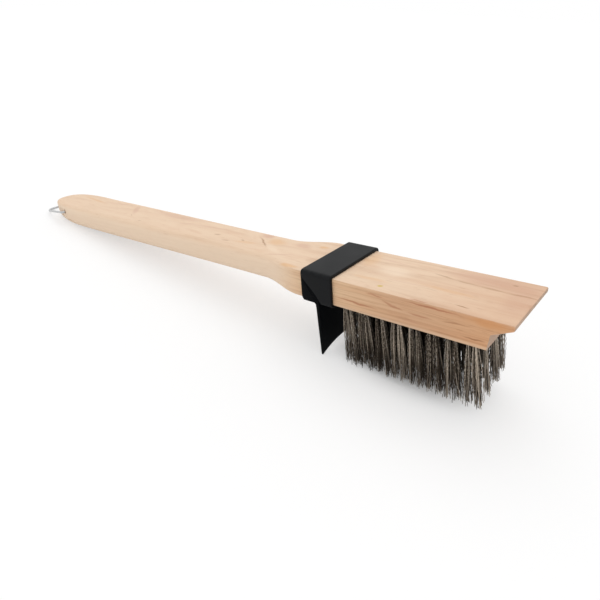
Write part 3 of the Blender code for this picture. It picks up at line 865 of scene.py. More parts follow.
def late_wood(wood, place, along, aside, height):
    """The dark late part of each ring, which ends sharply.

    Rings are shells round a line below the board that comes slowly nearer to it, and noise makes them sway.
    """
    pith = pith_height + along * pith_slope
    sway = (wood.noise(place, sway_scale) - 0.5) * sway_depth
    shell = ((aside + pith_aside) ** 2 + (height - pith) ** 2) ** 0.5 + sway
    ring = wood.maths("FRACT", shell / ring_width)
    return wood.step(ring, *late_rise) * wood.step(ring, *late_fall)


def wavy_place(wood, place):
    """The place pushed about by noise, so that a mark's edge wanders."""
    wander = wood.node("ShaderNodeTexNoise", None, {"Vector": place, "Scale": wander_scale, "Detail": 3.0},
                       output="Color")
    wander = wood.node("ShaderNodeVectorMath", {"operation": "SUBTRACT"}, {0: wander, 1: (0.5, 0.5, 0.5)})
    return wood.node("ShaderNodeVectorMath", {"operation": "MULTIPLY_ADD"},
                     {0: wander, 1: wander_depth, 2: place})


def mark_layers(wood, board, place, marks, upright, face):
    """A share and a tint for each mark on a face: the share fades from a turned oval's middle to its edge."""
    tints = {"dark": board.dark, "warm": board.warm, **wood_tints}
    for *lengths, turn, strength, tint in marks:
        at, other, long, wide = (length * millimetre for length in lengths)
        turn = math.radians(turn)
        if upright:
            reach = wood.oval(place, (at, 0.0, other), (long, 1.0, wide), (0.0, -turn, 0.0))
        else:
            reach = wood.oval(place, (at, other, 0.0), (long, wide, 1.0), (0.0, 0.0, turn))
        yield wood.step(reach, *mark_fade) * strength * face, tints[tint]


def browned_and_shaded(wood, colour, along, height, ahead, top, head_side):
    """The colour, browner at the nose and on the head's sides, and darkest where the wood looks ahead.

    The sides are multiplied by a brown that goes from one colour to the next along the head; it is partly the side
    grain's own colour and partly painted shade, which deepens towards the nose. Their lower edge is paler.
    """
    colour = wood.blend(wood.step(along, *nose_top_looks) * top, colour, nose_top_brown, "MULTIPLY")
    # Partly painted shade: the sides' brown deepens from the collar towards the nose
    side_brown_and_shade = wood.layered(collar_side_brown, [(wood.step(along, *run), tint) for run, tint in side_browns_and_shade])
    return wood.layered(wood.blend(head_side, colour, side_brown_and_shade, "MULTIPLY"), [
        (wood.step(height, *lower_edge_looks) * head_side * 0.45, wood_tints["lower edge"]),
        (wood.step(ahead, *facing_ahead) * 0.75, wood_tints["front"])])


def wood_finish(board):
    """Pale sanded hardwood, sawn so that its rings run along the board.

    Over the pale wood lie bands, the rings' late wood, streaks, pores and mottle, all drawn out along the
    board and most of them fainter on the handle. Painted light lightens the handle's sides. Then come the single
    marks, one of them painted shade in the mouth of the loop's hole, the head's brown, partly painted shade that
    deepens towards the nose, and warmer rubbed edges.
    """
    wood = new_finish("pale_wood_grain")
    place = wood.own_place()
    along, across, height = wood.parts(place)
    ahead, aside, upward = wood.parts(wood.node("ShaderNodeTexCoord", output="Normal"))
    on_head = wood.step(along, *head_looks)
    top = wood.step(upward, *facing_up)
    near_side = wood.step(aside, *facing_near)
    side = wood.step(wood.maths("ABSOLUTE", aside), *facing_aside)
    head_side = side * on_head

    bent_across = across + knot_shift(along, across)
    late = late_wood(wood, place, along, bent_across, height)
    bent = wood.node("ShaderNodeCombineXYZ", None, {"X": along, "Y": bent_across, "Z": height})
    bands = wood.noise(bent, *bands_noise)
    streaks = wood.noise(bent, *streaks_noise)
    fine = wood.noise(bent, *fine_noise)
    mottle = wood.noise(bent, *mottle_noise)
    side_lines = wood.noise(bent, *side_lines_noise)
    pores = wood.node("ShaderNodeTexVoronoi", {"feature": "F1", "distance": "EUCLIDEAN"},
                      {"Vector": wood.stretched(bent, pore_scale), "Scale": 1.0})
    flecks = wood.step(pores, 0.30, 0.12) * wood.step(streaks, 0.46, 0.60)

    strength = 0.30 + on_head * 0.60
    wavy = wavy_place(wood, place)
    colour = wood.layered(board.pale, [
        (wood.step(bands, 0.36, 0.72) * strength, board.warm),
        (late * strength * 0.34 * wood.step(bands, 0.25, 0.7), board.dark),
        (wood.step(streaks, 0.56, 0.80) * strength * 0.48, board.dark),
        (wood.step(streaks, 0.46, 0.22) * 0.30, wood_tints["pale streak"]),
        (flecks * (0.25 + on_head * 0.10), board.dark),
        (wood.step(mottle, 0.46, 0.70) * 0.34, board.warm),
        (wood.step(side_lines, 0.54, 0.68) * head_side * 0.55, wood_tints["side line"]),
        # Painted light: the handle's sides are lightened, so that they look as bright as its top
        (side * (1 - on_head) * 0.5, wood_tints["painted side light"]),
        *mark_layers(wood, board, wavy, top_marks, False, top),
        *mark_layers(wood, board, wavy, side_marks, True, near_side)])

    colour = browned_and_shaded(wood, colour, along, height, ahead, top, head_side)
    wear = wood.number("wear") * wood.step(wood.noise(place, *wood_rubbed_noise), 0.35, 0.65)
    colour = wood.blend(wear * 0.30, colour, board.warm)
    rough = 0.52 + streaks * 0.16 + flecks * 0.10 - wear * 0.10
    relief = fine * 0.35 - flecks * 0.9 - late * 0.25 + streaks * 0.3
    return wood.surface({"Base Color": colour, "Roughness": rough, "Specular IOR Level": wood_gloss},
                        relief, wood_relief)


def collar_bottom(board):
    """Height of the collar's underside: a gap and a wall below the board."""
    return -board.thickness - touch_gap - collar_bottom_wall


def wing_reach(board):
    """Half the width over the scraper's two wings."""
    return board.head_width / 2 + 2 * touch_gap + collar_side_wall + wing_thickness


def panel_edge(board, offset=0.0):
    """The slanting lower edge of the collar's raised side panel, moved down and back by the offset."""
    share_x, share_z = np.array(panel_edge_shares).T
    span = collar_top - collar_bottom(board)
    return np.column_stack([collar_rear + share_x * collar_length, collar_top - share_z * span]) - offset


def collar_surface(board, plastic):
    """The collar as rings round the board, along it on the outside and back on the inside, and their wear.

    Half a ring goes from the middle of the top over a round corner, down the side and round the lower corner
    to the middle of the bottom, and the other half mirrors it. Below the slanting edge of the raised panel
    the side is no further out than the recess. Rows close up towards that edge and the bottom, by the sine
    of their share. At both open ends the rings draw in along a quarter circle.
    """
    inner_half = board.head_width / 2 + touch_gap
    recess_half = inner_half + collar_side_wall
    turn, rounding = quarter(collar_rim_steps), plastic.end_rounding
    ends, draw_in = rounding * (1 - np.cos(turn)), rounding * (1 - np.sin(turn))
    edge_x, edge_z = panel_edge(board).T
    middle = np.linspace(collar_rear + rounding, collar_front - rounding, collar_rings)[1:-1]
    middle = np.union1d(middle, edge_x[edge_x > collar_rear + rounding])
    x = np.concatenate([collar_rear + ends, middle, (collar_front - ends)[::-1]])[:, None]
    inset = np.concatenate([draw_in, np.zeros(len(middle)), draw_in[::-1]])[:, None]
    radius = collar_corner_radius - inset
    top, bottom = collar_top - inset, collar_bottom(board) + inset
    outer, recess = recess_half + collar_panel_rise - inset, recess_half - inset
    edge = np.clip(np.interp(x, edge_x, edge_z), bottom + panel_step, top - radius - panel_step)

    def reach(height):
        below = np.clip(bottom + radius - height, 0.0, radius)
        return outer - radius + np.sqrt(radius ** 2 - below ** 2)

    corner, close_up = quarter(collar_corner_steps), np.sin(quarter(collar_row_steps))
    out = np.linspace(0.0, 1.0, collar_top_columns)[None, :-1]
    level = np.ones_like(x) * np.ones_like(out)
    above = top - radius + (edge + panel_step / 2 - top + radius) * close_up[1:]
    below = edge - panel_step / 2 + (bottom - edge + panel_step / 2) * close_up
    halfway = (reach(edge) + np.minimum(reach(edge), recess)) / 2
    y = np.concatenate([(outer - radius) * out, outer - radius + radius * np.sin(corner), reach(above),
                        halfway, np.minimum(reach(below), recess), (outer - radius) * out[:, ::-1]], axis=1)
    z = np.concatenate([top * level, top - radius + radius * np.cos(corner), above, edge, below,
                        bottom * level], axis=1)
    at_edge = np.where(np.arange(above.shape[1]) == above.shape[1] - 1, 1.0, 0.0)
    raised = (reach(edge) - np.minimum(reach(edge), recess)) / collar_panel_rise
    wear = np.concatenate([level * 0, np.sin(2 * corner) + x * 0, raised * at_edge,
                           raised * panel_step_wear, below * 0, level * 0], axis=1)
    wear = np.maximum(wear, inset / rounding)
    outside = np.stack([x + 0 * y, y, z], axis=-1)
    outside = np.concatenate([outside, outside[:, -2:0:-1] * (1, -1, 1)], axis=1)
    wear = np.concatenate([wear, wear[:, -2:0:-1]], axis=1)
    inside = outside[[-1, 0]].copy()
    inside[..., 1] = np.clip(inside[..., 1], -inner_half, inner_half)
    inside[..., 2] = np.clip(inside[..., 2], -board.thickness - touch_gap, touch_gap)
    return np.concatenate([outside, inside, outside[:1]]), np.concatenate([wear, 0 * wear[[-1, 0]], wear[:1]])


def make_collar(board, plastic, finish):
    """The collar's rings, which end on the one that they start from."""
    points, wear = collar_surface(board, plastic)
    rings, size = points.shape[:2]
    finished_piece("moulded_collar", points.reshape(-1, 3), ring_quads(rings, size), finish, "brush",
                   "collar", 32, {"wear": wear.ravel()})


def drawn_in(outline, distance):
    """A closed outline moved inwards by a distance, each corner along the sum of its two edges' normals."""
    step = np.roll(outline, -1, axis=0) - outline
    step /= np.linalg.norm(step, axis=1, keepdims=True)
    after = np.column_stack([-step[:, 1], step[:, 0]])
    area = np.sum(outline[:, 0] * np.roll(outline[:, 1], -1) - outline[:, 1] * np.roll(outline[:, 0], -1))
    after *= np.sign(area)
    before = np.roll(after, 1, axis=0)
    along = np.sum(before * after, axis=1, keepdims=True)
    return outline + distance * (before + after) / (1 + along)


def slab(outline, low, high, rounding, order):
    """Points, faces and edge wear of an outline drawn out from low to high, with both rims rounded.

    The rings at each rim follow a quarter circle: they move in by 1 - cos and out by sin of its angle. The
    order says which of the three coordinates are the outline's two and the height.
    """
    outline = np.asarray(outline, float)
    turn = quarter(slab_rim_steps)
    insets = rounding * (1 - np.cos(turn))
    rises = rounding * (1 - np.sin(turn))
    levels = [(inset, low + rise) for inset, rise in zip(insets[::-1], rises[::-1])]
    levels += [(inset, high - rise) for inset, rise in zip(insets, rises)]
    rings = [np.column_stack([drawn_in(outline, inset), np.full(len(outline), level)])
             for inset, level in levels]
    points = np.stack(rings)[..., np.argsort(order)]
    wear = np.concatenate([np.sin(2 * turn[::-1]), np.sin(2 * turn)]) * rim_wear
    count = len(outline)
    return points.reshape(-1, 3), capped_rings(len(rings), count), np.repeat(wear, count)


def softened(outline, radius):
    """A closed outline with each corner replaced by a curve that starts and ends radius away from it."""
    outline = np.asarray(outline, float)

    def beside(side):
        length = np.linalg.norm(side, axis=1, keepdims=True)
        return outline + side / length * np.minimum(radius, length * softening_limit_share)

    start, end = (beside(np.roll(outline, shift, axis=0) - outline)[:, None] for shift in (1, -1))
    share = np.linspace(0.0, 1.0, softened_steps)[None, :, None]
    curve = start * (1 - share) ** 2 + 2 * outline[:, None] * share * (1 - share) + end * share ** 2
    return curve.reshape(-1, 2)


def wing_outline(board):
    """The scraper's side wing in side view: under the panel's edge, round at the back, into the blade."""
    front = blade_rear + blade_top_thickness
    bottom = collar_bottom(board) + wing_bottom_drop
    plate_bottom = collar_bottom(board) - touch_gap - base_plate_thickness
    edge = panel_edge(board, touch_gap)
    slope = (edge[1, 1] - edge[0, 1]) / (edge[1, 0] - edge[0, 0])
    turn = quarter(wing_corner_steps)
    back = np.column_stack([collar_rear + wing_corner_radius * (1 - np.cos(turn)),
                            bottom + wing_corner_radius * (1 - np.sin(turn))])
    outline = [(collar_rear, edge[0, 1] + slope * (collar_rear - edge[0, 0]))] + back.tolist()
    outline += [(blade_rear - blade_shoulder, bottom), (blade_rear, bottom - blade_shoulder),
                (blade_rear, plate_bottom), (front, plate_bottom), (front, np.interp(front, *edge.T))]
    return outline + edge[(edge[:, 0] < front)][:0:-1].tolist()


def blade_surface(board):
    """The blade as rings round its thickness, from the base plate down to its arched edge.

    A ring is a thin rectangle with round corners. Each point goes down by its share of the blade's height at
    its own distance from the middle, less the arch, while the sheet leans forward and gets thinner. The last
    rings draw in along a quarter circle, and strips close the top and the edge.
    """
    half_blade = wing_reach(board)
    across = np.linspace(-1.0, 1.0, blade_columns)
    bend = quarter(blade_corner_steps)
    bend = bend[:-1] + bend[1] / 2
    flat, corner = np.zeros(len(across)), np.full(len(bend), 1.0)
    rear_x = np.concatenate([-np.sin(bend), flat - 1, -np.cos(bend)])
    rear_y = np.concatenate([-np.cos(bend), flat, np.sin(bend)])
    rear_side = np.concatenate([-corner, across, corner])
    normal_x = np.concatenate([rear_x, -rear_x[::-1]])
    normal_y = np.concatenate([rear_y, rear_y[::-1]])
    side = np.concatenate([rear_side, rear_side[::-1]])
    front = np.repeat([0.0, 1.0], len(rear_x))

    turn, level = quarter(blade_edge_steps)[1:], np.zeros(blade_rings)
    share = np.concatenate([np.linspace(0.0, 1.0, blade_rings), np.ones(len(turn))])[:, None]
    inset = np.concatenate([level, blade_rounding * (1 - np.cos(turn))])[:, None] * blade_inset_share
    sunk = np.concatenate([level, blade_rounding * np.sin(turn)])[:, None]
    radius = blade_rounding - inset
    y = side * (half_blade - inset - radius) + normal_y * radius
    arch = blade_arch_height * (1 - abs(y / half_blade) ** blade_arch_power)
    down = (blade_height - arch - blade_rounding) * share + sunk
    fall = down / blade_height
    thickness = blade_top_thickness + (blade_edge_thickness - blade_top_thickness) * fall
    rear = blade_rear + blade_lean * fall
    x = rear + inset + radius + front * (thickness - 2 * inset - 2 * radius) + normal_x * radius
    points = np.stack([x, y, collar_bottom(board) - touch_gap - down], axis=-1)

    rings, size = points.shape[:2]
    first, half = (rings - 1) * size, size // 2
    strip = [[i, i + 1, size - 2 - i, size - 1 - i] for i in range(half - 1)]
    faces = ring_quads(rings, size) + [quad[::-1] for quad in strip]
    faces += [[first + i for i in quad] for quad in strip]
    from_edge = (1 - share) * blade_height / blade_wear_height
    wear = np.maximum(2 * abs(normal_x * normal_y), np.exp(-from_edge ** 2))
    return points.reshape(-1, 3), faces, (wear + 0 * y).ravel()


def joined(shells):
    """One set of points, faces and numbers from several closed shells, each turned outwards."""
    points, faces, values, start = [], [], [], 0
    for shell_points, shell_faces, shell_values in shells:
        faces += [[start + i for i in face] for face in outward(shell_points, shell_faces)]
        points.append(shell_points)
        values.append(shell_values)
        start += len(shell_points)
    return np.concatenate(points), faces, np.concatenate(values)


def make_scraper(board, finish):
    """The blade, its flat base plate and two upright side wings, as closed shells run into each other."""
    outer = wing_reach(board)
    inner = outer - wing_thickness
    plate_top = collar_bottom(board) - touch_gap
    rear, half = collar_rear + base_plate_margin, outer - base_plate_end_inset
    front = rear + base_plate_length
    plan = softened([(rear, -half), (front, -half), (front, half), (rear, half)], plate_softening)
    side = softened(wing_outline(board), wing_softening)
    shells = [blade_surface(board),
              slab(plan, plate_top - base_plate_thickness, plate_top, plate_rounding, (0, 1, 2)),
              slab(side, -outer, -inner, wing_rounding, (0, 2, 1)),
              slab(side, inner, outer, wing_rounding, (0, 2, 1))]
    points, faces, wear = joined(shells)
    finished_piece("moulded_scraper", points, faces, finish, "brush", "scraper", 32,
                   {"wear": wear})


def plastic_finish(name, plastic, gloss):
    """Satin black moulded plastic: fine grain, faint scratches, cloudy gloss, and paler edges, partly rubbed wear
    and partly painted highlight.
    """
    black = new_finish(name)
    place = black.own_place()
    grain = black.noise(place, *plastic_grain_noise)
    cloud = black.noise(place, *plastic_cloud_noise)
    scratch = black.noise(place, *plastic_scratch_noise)
    # The edges' paler colour is partly rubbed wear and partly painted highlight
    rubbed_and_highlit = black.number("wear") * black.step(black.noise(place, *plastic_rub_and_highlight_noise), 0.38, 0.70)
    colour = black.blend(rubbed_and_highlit * 0.45 + black.step(cloud, 0.45, 0.8) * 0.10, plastic.colour, plastic.worn_and_highlit)
    rough = plastic.roughness + (cloud - 0.5) * 0.16 + (grain - 0.5) * 0.10 - rubbed_and_highlit * 0.08
    relief = grain * 0.8 + scratch * 0.25
    return black.surface({"Base Color": colour, "Roughness": rough, "Specular IOR Level": gloss}, relief,
                         plastic_relief)


def tube(path, flat_normal, radius, sides):
    """A round tube along a path that lies in one plane, with flat ends.

    A ring is the path's point plus radius times cos along the normal in the plane and sin along the plane's
    own normal. Each point also keeps where it would be if the wire were pulled straight.
    """
    step = np.gradient(path, axis=0)
    step /= np.linalg.norm(step, axis=1, keepdims=True)
    aside = np.cross(flat_normal, step)
    turn = np.arange(sides) * 2 * math.pi / sides
    ring = np.cos(turn)[None, :, None] * aside[:, None] + np.sin(turn)[None, :, None] * flat_normal
    points = path[:, None] + radius * ring
    run = np.concatenate([[0.0], np.cumsum(np.linalg.norm(np.diff(path, axis=0), axis=1))])
    straight = np.broadcast_arrays(run[:, None], radius * np.cos(turn), radius * np.sin(turn))
    straight = np.stack(straight, axis=-1)
    return points.reshape(-1, 3), capped_rings(len(path), sides), straight.reshape(-1, 3)


def arc(centre, radius, start, end, steps):
    """Points on a circle in plan from one angle to another, in degrees."""
    angle = np.radians(np.linspace(start, end, steps + 1))
    return np.column_stack([centre[0] + radius * np.cos(angle), centre[1] + radius * np.sin(angle)])


def loop_line(board):
    """The wire's middle line in its own plane, with the hole's axis at x = 0 and the loop towards -X.

    From its end in the hole it goes out of the mouth, round a small bend, along a leg that closes in, round
    the corner and along the end bar, and the other half mirrors it.
    """
    leg = float(half_width(board, board.length - loop_hole_from_end)) + touch_gap + loop_bend_radius
    closing = math.degrees(math.atan2(leg - loop_end_width / 2, loop_reach))
    bend = arc((-loop_bend_radius, -leg + loop_bend_radius), loop_bend_radius, 0.0, -90.0 - closing,
               loop_bend_steps)
    slope = math.radians(closing)
    corner_x = loop_corner_radius - loop_reach
    corner_y = (-leg + loop_bend_radius * (1 - math.cos(slope))
                + (-corner_x - loop_bend_radius) * math.tan(slope) + loop_corner_radius * math.cos(slope))
    corner = arc((corner_x, corner_y), loop_corner_radius, -90.0 - closing, -180.0, loop_corner_steps)
    tail = np.linspace((0.0, loop_tail_length - leg), bend[0], loop_tail_steps)[:-1]
    run = np.linspace(bend[-1], corner[0], loop_leg_steps)[1:-1]
    bar = np.linspace(corner[-1], (corner[-1][0], 0.0), loop_bar_steps)[1:]
    half = np.concatenate([tail, bend, run, corner, bar])
    return np.concatenate([half, half[-2::-1] * (1, -1)])


def make_loop(board, loop):
    """The wire loop on the axis of its hole, drooping until its end bar lies on the floor."""
    joint = next(joint for joint in frame["joints"] if joint["child"] == "loop")
    hinge, radius = np.array(joint["pos_m"]), loop.wire_diameter / 2
    droop = math.asin((hinge[2] - radius - loop_floor_gap) / loop_reach)
    line = loop_line(board)
    back = np.array([math.cos(droop), 0.0, math.sin(droop)])
    world = hinge + line[:, :1] * back + line[:, 1:] * np.array([0.0, 1.0, 0.0])
    flat_normal = own_axes.T @ np.cross(back, (0.0, 1.0, 0.0))
    points, faces, straight = tube((world - own_origin) @ own_axes, flat_normal, radius, loop_sides)
    finished_piece("wire_hang_loop", points, faces, loop_finish(loop), "loop", "hang_loop", 40,
                   {"straight": straight})


def steel(metal, place, colour, dull, rough, scratch_noise):
    """Drawn steel: long fine scratches in its gloss, and duller patches."""
    scratch = metal.noise(place, *scratch_noise)
    tarnish = metal.step(metal.noise(place, *tarnish_noise), 0.48, 0.72)
    shade = metal.blend(tarnish * 0.55 + metal.step(scratch, 0.6, 0.8) * 0.25, colour, dull)
    roughness = rough + (scratch - 0.5) * 0.22 + tarnish * 0.14
    return metal.surface({"Base Color": shade, "Metallic": 1.0, "Roughness": roughness}, scratch,
                         steel_relief)


def loop_finish(loop):
    """Bright drawn wire, whose scratches follow its bends."""
    metal = new_finish("bright_loop_steel")
    return steel(metal, metal.vector("straight"), loop.colour, dull_loop_steel, 0.26, loop_scratch_noise)


def wire_ends(board, bristles, row, column, random):
    """Each wire's root in its hole, how far it drifts on the way down, and its length.

    The wires of each folded half start on a golden spiral squeezed into an oval. On the way down the halves
    part, each half spreads, and all lean outwards and towards the nose: less in the far row, a little more in
    the rearmost tufts, and further at the edge of the foremost ones. A few wires are loose and stray further.
    A wire stays inside the collar's width and stops short of the floor.
    """
    count = bristles.wires
    order = np.arange(count)
    turn, reach = order * golden_turn, np.sqrt((order + 0.5) / count)
    half = np.where(order % 2, fold_apart, -fold_apart)
    bundle = np.column_stack([fold_half_length * reach * np.cos(turn),
                              fold_half_width * reach * np.sin(turn)])
    fold = np.column_stack([half, 0 * half])
    from_nose = (column - 1) / (tuft_columns - 1)
    splay = foremost_splay * np.exp(-splay_fade * (column - 1)) * reach
    from_near = (row - 1) / (tuft_rows - 1)
    forward = (nose_lean + rear_more_lean * from_nose ** 4) * (1 - (1 - far_row_lean_share) * from_near ** 2)
    lean = np.array([forward, side_lean * (2 * from_near - 1)])
    stray = np.where(random.random((count, 1)) < loose_share, loose_stray, wire_stray)
    drift = (fold * fold_spread_share + bundle * bundle_spread_shares + lean
             + random.normal(0.0, 1.0, (count, 2)) * stray + np.column_stack([splay, 0 * splay]))
    root = tuft_centres(board)[row, column] + fold + bundle
    most = board.head_width / 2 + side_margin
    drift[:, 1] = np.clip(drift[:, 1], -most - root[:, 1], most - root[:, 1])
    ragged = bristles.raggedness * random.random(count) ** ragged_power
    length = bristle_length - nose_trim * (1 - from_nose) - ragged + root_depth
    tip = np.column_stack([root + drift, root_depth - board.thickness - length])
    length -= np.maximum(floor_clearance - laid_down(tip)[:, 2], 0.0) / own_axes[2, 2]
    return root, drift, length


def wire_lines(board, bristles, row, column):
    """Middle lines of a tuft's wires, as wires by points by three coordinates, and what their finish reads.

    A wire bows by a sine, and its points lie by turns on either side, which is the crimp. The crimp sets in
    below the root, fades towards the tip, and is shifted along the wire by a random part of its step. The
    finish reads each wire's tone and each point's share of the way from root to tip.
    """
    random = np.random.default_rng(1000 * row + column)
    root, drift, length = wire_ends(board, bristles, row, column, random)
    count = bristles.wires
    steps = max(4, round(2 * bristle_length / bristles.crimp_pitch))
    share = np.linspace(0.0, 1.0, steps + 1)
    shift = random.random((count, 1)) ** 2 * crimp_shift_share / steps
    share = (share + shift * np.sin(math.pi * share))[..., None]
    way = random.random(count) * math.pi
    bow = random.normal(0.0, wire_bow, (count, 1, 2)) * np.sin(math.pi * share)
    zigzag = (1.0 - 2.0 * (np.arange(steps + 1) % 2))[None, :, None] * np.minimum(1.0, crimp_start * share)
    own_depth = crimp_least_share + (1 - crimp_least_share) * random.random((count, 1, 1))
    depth = bristles.crimp_depth * own_depth * (1 - crimp_fade * share)
    crimp = depth * zigzag * np.column_stack([np.cos(way), np.sin(way)])[:, None]
    flat = root[:, None] + drift[:, None] * share ** spread_power + bow + crimp
    height = root_depth - board.thickness - length[:, None, None] * share
    return np.concatenate([flat, height], axis=-1), random.random(count), share[..., 0]


def make_tuft(board, bristles, row, column, finish):
    """A bundle of three-sided wires; each ring of a wire is a small level triangle on its middle line."""
    lines, tone, share = wire_lines(board, bristles, row, column)
    count, rings = lines.shape[:2]
    turn = np.arange(3) * 2 * math.pi / 3 + tone[:, None] * 2 * math.pi
    ring = bristles.wire_diameter / 2 * np.stack([np.cos(turn), np.sin(turn), 0 * turn], axis=-1)
    points = (lines[:, :, None] + ring[:, None]).reshape(-1, 3)
    one = capped_rings(rings, 3)
    faces = [[3 * rings * wire + i for i in face] for wire in range(count) for face in one]
    values = {"tone": np.repeat(tone, 3 * rings), "from_root": np.repeat(share, 3)}
    finished_piece(f"bristle_tuft_r{row}_c{column}", points, faces, finish, "brush",
                   f"tuft_r{row}_c{column}", 180, values)


def bristle_finish(bristles):
    """Dull stainless wire: each wire has its own tone and has painted glints speckled in its upper part.

    Painted shade darkens the inside of the block of tufts, the roots, and the wires towards their tips, most of
    all behind the front tufts.
    """
    wire = new_finish("crimped_bristle_steel")
    tone, from_root = wire.number("tone"), wire.number("from_root")
    place = wire.own_place()
    along, across, _ = wire.parts(place)
    patch = wire.noise(place, *wire_patch_noise)
    # Painted glints: bright speckles in the wires' upper part stand in for highlights on the crimps
    painted_glints = wire.noise(place, *painted_glint_noise)
    painted_glints = wire.step(painted_glints, 0.48, 0.62) * wire.step(from_root, 0.75, 0.45)
    # Brightness: each wire's own random tone and patches, plus the painted glints
    bright = wire.step(tone * 0.75 + patch * 0.25 + painted_glints * 0.30, 0.42, 1.0)
    forward = along - from_root * painted_shade_lean
    # Painted shade: a mask of the inside of the block of tufts, leaning with the wires
    inner = (wire.step(wire.maths("ABSOLUTE", across), *painted_shade_across) * wire.step(forward, *painted_shade_front)
             * wire.step(forward, *painted_shade_rear))
    # Painted shade darkens the inside of the block, the roots and the tips, over the wires' own tones
    shade = wire.layered(bristles.dark, [
        (bright, bristles.pale),
        (inner * (0.92 - from_root * 0.25), bristles.painted_shade),
        (wire.step(from_root, 0.12, 0.02) * 0.5, bristles.painted_shade),
        (wire.step(from_root, 0.45, 1.0) * (0.30 + wire.step(along, -0.05, -0.09) * 0.25), bristles.painted_shade)])
    rough = 0.28 + patch * 0.16 + tone * 0.06
    return wire.surface({"Base Color": shade, "Metallic": 1.0, "Roughness": rough})


def screw_finish():
    """Zinc plated steel, with its scratches round the screw."""
    metal = new_finish("zinc_screw_steel")
    return steel(metal, metal.own_place(), zinc, dull_zinc, 0.34, screw_scratch_noise)


def make_floor(stage):
    """A flat sheet that catches the shadow. Seen directly or in gloss, it is lifted towards white.

    It is lifted less within an oval under the bristles, so that it shows more of the shadow there.
    """
    half = floor_size / 2
    corners = [(-half, -half, 0.0), (half, -half, 0.0), (half, half, 0.0), (-half, half, 0.0)]
    mesh = bpy.data.meshes.new("floor")
    mesh.from_pydata(corners, [], [(0, 1, 2, 3)])
    paper = new_finish("pale_floor")
    seen = seen_rays(paper)
    matt = paper.node("ShaderNodeBsdfDiffuse", None, {"Color": stage.floor})
    bright = paper.node("ShaderNodeBsdfDiffuse", None, {"Color": white})
    glow = paper.node("ShaderNodeEmission", None, {"Color": white, "Strength": 1.0})
    middle = laid_down(np.array(contact_middle)) * (1, 1, 0)
    close = paper.oval(paper.object_place(), middle, contact_size, (0.0, 0.0, 0.0))
    shown = stage.shadow + paper.step(close, *contact_fade) * stage.contact
    lifted = paper.node("ShaderNodeMixShader", None, {0: shown, 1: glow, 2: bright})
    both = paper.node("ShaderNodeMixShader", None, {0: seen, 1: matt, 2: lifted})
    paper.node("ShaderNodeOutputMaterial", None, {"Surface": both})
    mesh.materials.append(paper.owner)
    in_scene("floor", mesh)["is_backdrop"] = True


def seen_rays(finish):
    """1 for rays from the camera, in gloss or through glass, and 0 for those that only carry light."""
    camera = finish.node("ShaderNodeLightPath", output="Is Camera Ray")
    gloss = finish.node("ShaderNodeLightPath", output="Is Glossy Ray")
    glass = finish.node("ShaderNodeLightPath", output="Is Transmission Ray")
    return finish.maths("MAXIMUM", finish.maths("MAXIMUM", camera, gloss), glass)


def make_light(stage):
    """Even light from all sides, white where it is seen, and one very soft far lamp turned to the middle."""
    world = bpy.data.worlds.new("studio")
    bpy.context.scene.world = world
    sky = Finish(world)
    seen = seen_rays(sky)
    strength = stage.sky + seen * (1.0 - stage.sky)
    air = sky.node("ShaderNodeBackground", None, {"Color": white, "Strength": strength})
    sky.node("ShaderNodeOutputWorld", None, {"Surface": air})

    lamp = bpy.data.lights.new("overhead_lamp", "SUN")
    lamp.angle = key_lamp_spread
    lamp.energy = stage.key
    back = unit(key_lamp_place)
    right = unit(np.cross((0.0, 0.0, 1.0), back))
    axes = np.column_stack([right, np.cross(back, right), back])
    in_scene("overhead_lamp", lamp).matrix_world = object_matrix(axes, key_lamp_place)


def object_matrix(axes, place):
    """The matrix of an object at a place, whose own axes are the columns."""
    matrix = np.eye(4)
    matrix[:3, :3], matrix[:3, 3] = axes, place
    return Matrix(matrix.tolist())


def make_camera(stage):
    """The camera, placed by its directions and its shift from the nose along the brush's own axes."""
    left, _, right = np.linalg.svd(np.array(camera_directions))
    turn = left @ right
    lens = bpy.data.cameras.new("camera")
    lens.sensor_width = sensor_width
    lens.lens = stage.focal_length
    lens.clip_start = nearest_seen
    camera = in_scene("camera", lens)
    camera.matrix_world = object_matrix(own_axes @ (turn * [[1], [-1], [-1]]).T,
                                        laid_down(-turn.T @ np.array(camera_shift)))
    bpy.context.scene.camera = camera


class MakeBoard(bpy.types.Operator):
    """Makes the grained wooden board."""

    bl_idname = "grill_brush.board"
    bl_label = "Wooden board"

    def execute(self, context):
        make_board(context.scene.brush_board)
        return {"FINISHED"}


class MakePlastic(bpy.types.Operator):
    """Makes the moulded collar and the scraper."""

    bl_idname = "grill_brush.plastic"
    bl_label = "Collar and scraper"

    def execute(self, context):
        scene = context.scene
        board, plastic = scene.brush_board, scene.brush_plastic
        make_collar(board, plastic, plastic_finish("satin_collar_plastic", plastic, plastic.collar_gloss))
        make_scraper(board, plastic_finish("dark_scraper_plastic", plastic, plastic.scraper_gloss))
        return {"FINISHED"}


class MakeTufts(bpy.types.Operator):
    """Makes the tufts of crimped wire."""

    bl_idname = "grill_brush.tufts"
    bl_label = "Bristle tufts"

    def execute(self, context):
        bristles = context.scene.brush_bristles
        finish = bristle_finish(bristles)
        board = context.scene.brush_board
        for row, column in tuft_centres(board):
            make_tuft(board, bristles, row, column, finish)
        return {"FINISHED"}


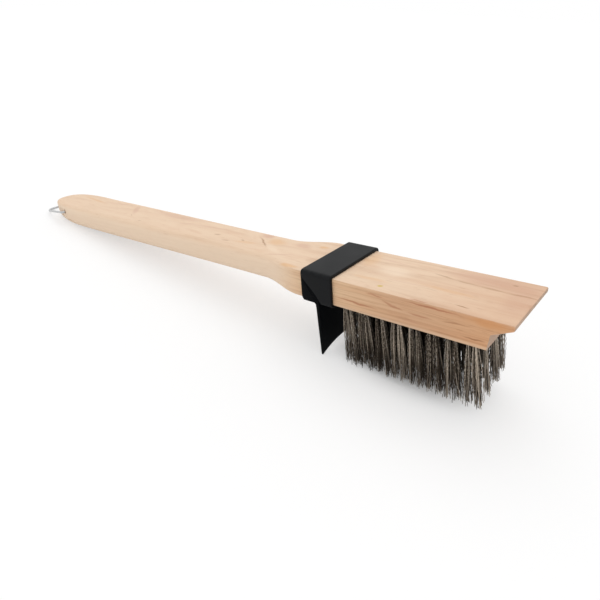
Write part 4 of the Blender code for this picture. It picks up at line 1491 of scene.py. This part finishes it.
class MakeLoop(bpy.types.Operator):
    """Makes the wire loop that the brush hangs on."""

    bl_idname = "grill_brush.loop"
    bl_label = "Hang loop"

    def execute(self, context):
        make_loop(context.scene.brush_board, context.scene.brush_loop)
        return {"FINISHED"}


class FinishScrews(bpy.types.Operator):
    """Gives the two packed screws their zinc finish."""

    bl_idname = "grill_brush.screws"
    bl_label = "Scraper screws"

    def execute(self, context):
        finish = screw_finish()
        for name in ("scraper_screw_1", "scraper_screw_2"):
            slots = frame["nodes"][name].material_slots
            slots[0].link = "OBJECT"
            slots[0].material = finish
        return {"FINISHED"}


class MakeStage(bpy.types.Operator):
    """Makes the pale floor, the soft light and the camera."""

    bl_idname = "grill_brush.stage"
    bl_label = "Studio"

    def execute(self, context):
        stage = context.scene.brush_stage
        context.scene.view_settings.view_transform = "Standard"
        make_floor(stage)
        make_light(stage)
        make_camera(stage)
        return {"FINISHED"}


piece_operators = (MakeBoard, MakePlastic, MakeTufts, MakeLoop, FinishScrews, MakeStage)


class BrushPanel(bpy.types.Panel):
    """Lists the settings and the pieces."""

    bl_idname = "VIEW3D_PT_grill_brush"
    bl_label = "Grill Brush"
    bl_space_type = "VIEW_3D"
    bl_region_type = "UI"
    bl_category = "Grill Brush"

    def draw(self, context):
        for name, group in settings_groups.items():
            box = self.layout.box()
            box.label(text=name.replace("_", " ").capitalize())
            for choice in group.__annotations__:
                box.prop(getattr(context.scene, name), choice)
        for operator in piece_operators:
            self.layout.operator(operator.bl_idname)


def register():
    for kind in (*settings_groups.values(), *piece_operators, BrushPanel):
        bpy.utils.register_class(kind)
    for name, group in settings_groups.items():
        setattr(bpy.types.Scene, name, bpy.props.PointerProperty(type=group))


def unregister():
    for name in settings_groups:
        delattr(bpy.types.Scene, name)
    for kind in (BrushPanel, *piece_operators[::-1], *reversed(settings_groups.values())):
        bpy.utils.unregister_class(kind)


def main():
    """Makes every piece and the studio."""
    register()
    for operator in piece_operators:
        group, name = operator.bl_idname.split(".")
        getattr(getattr(bpy.ops, group), name)()
    boxes = {"cad": cad_box, "visual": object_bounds()}
    plain = {name: [[float(value) for value in corner] for corner in box] for name, box in boxes.items()}


if __name__ == "__main__":
    main()
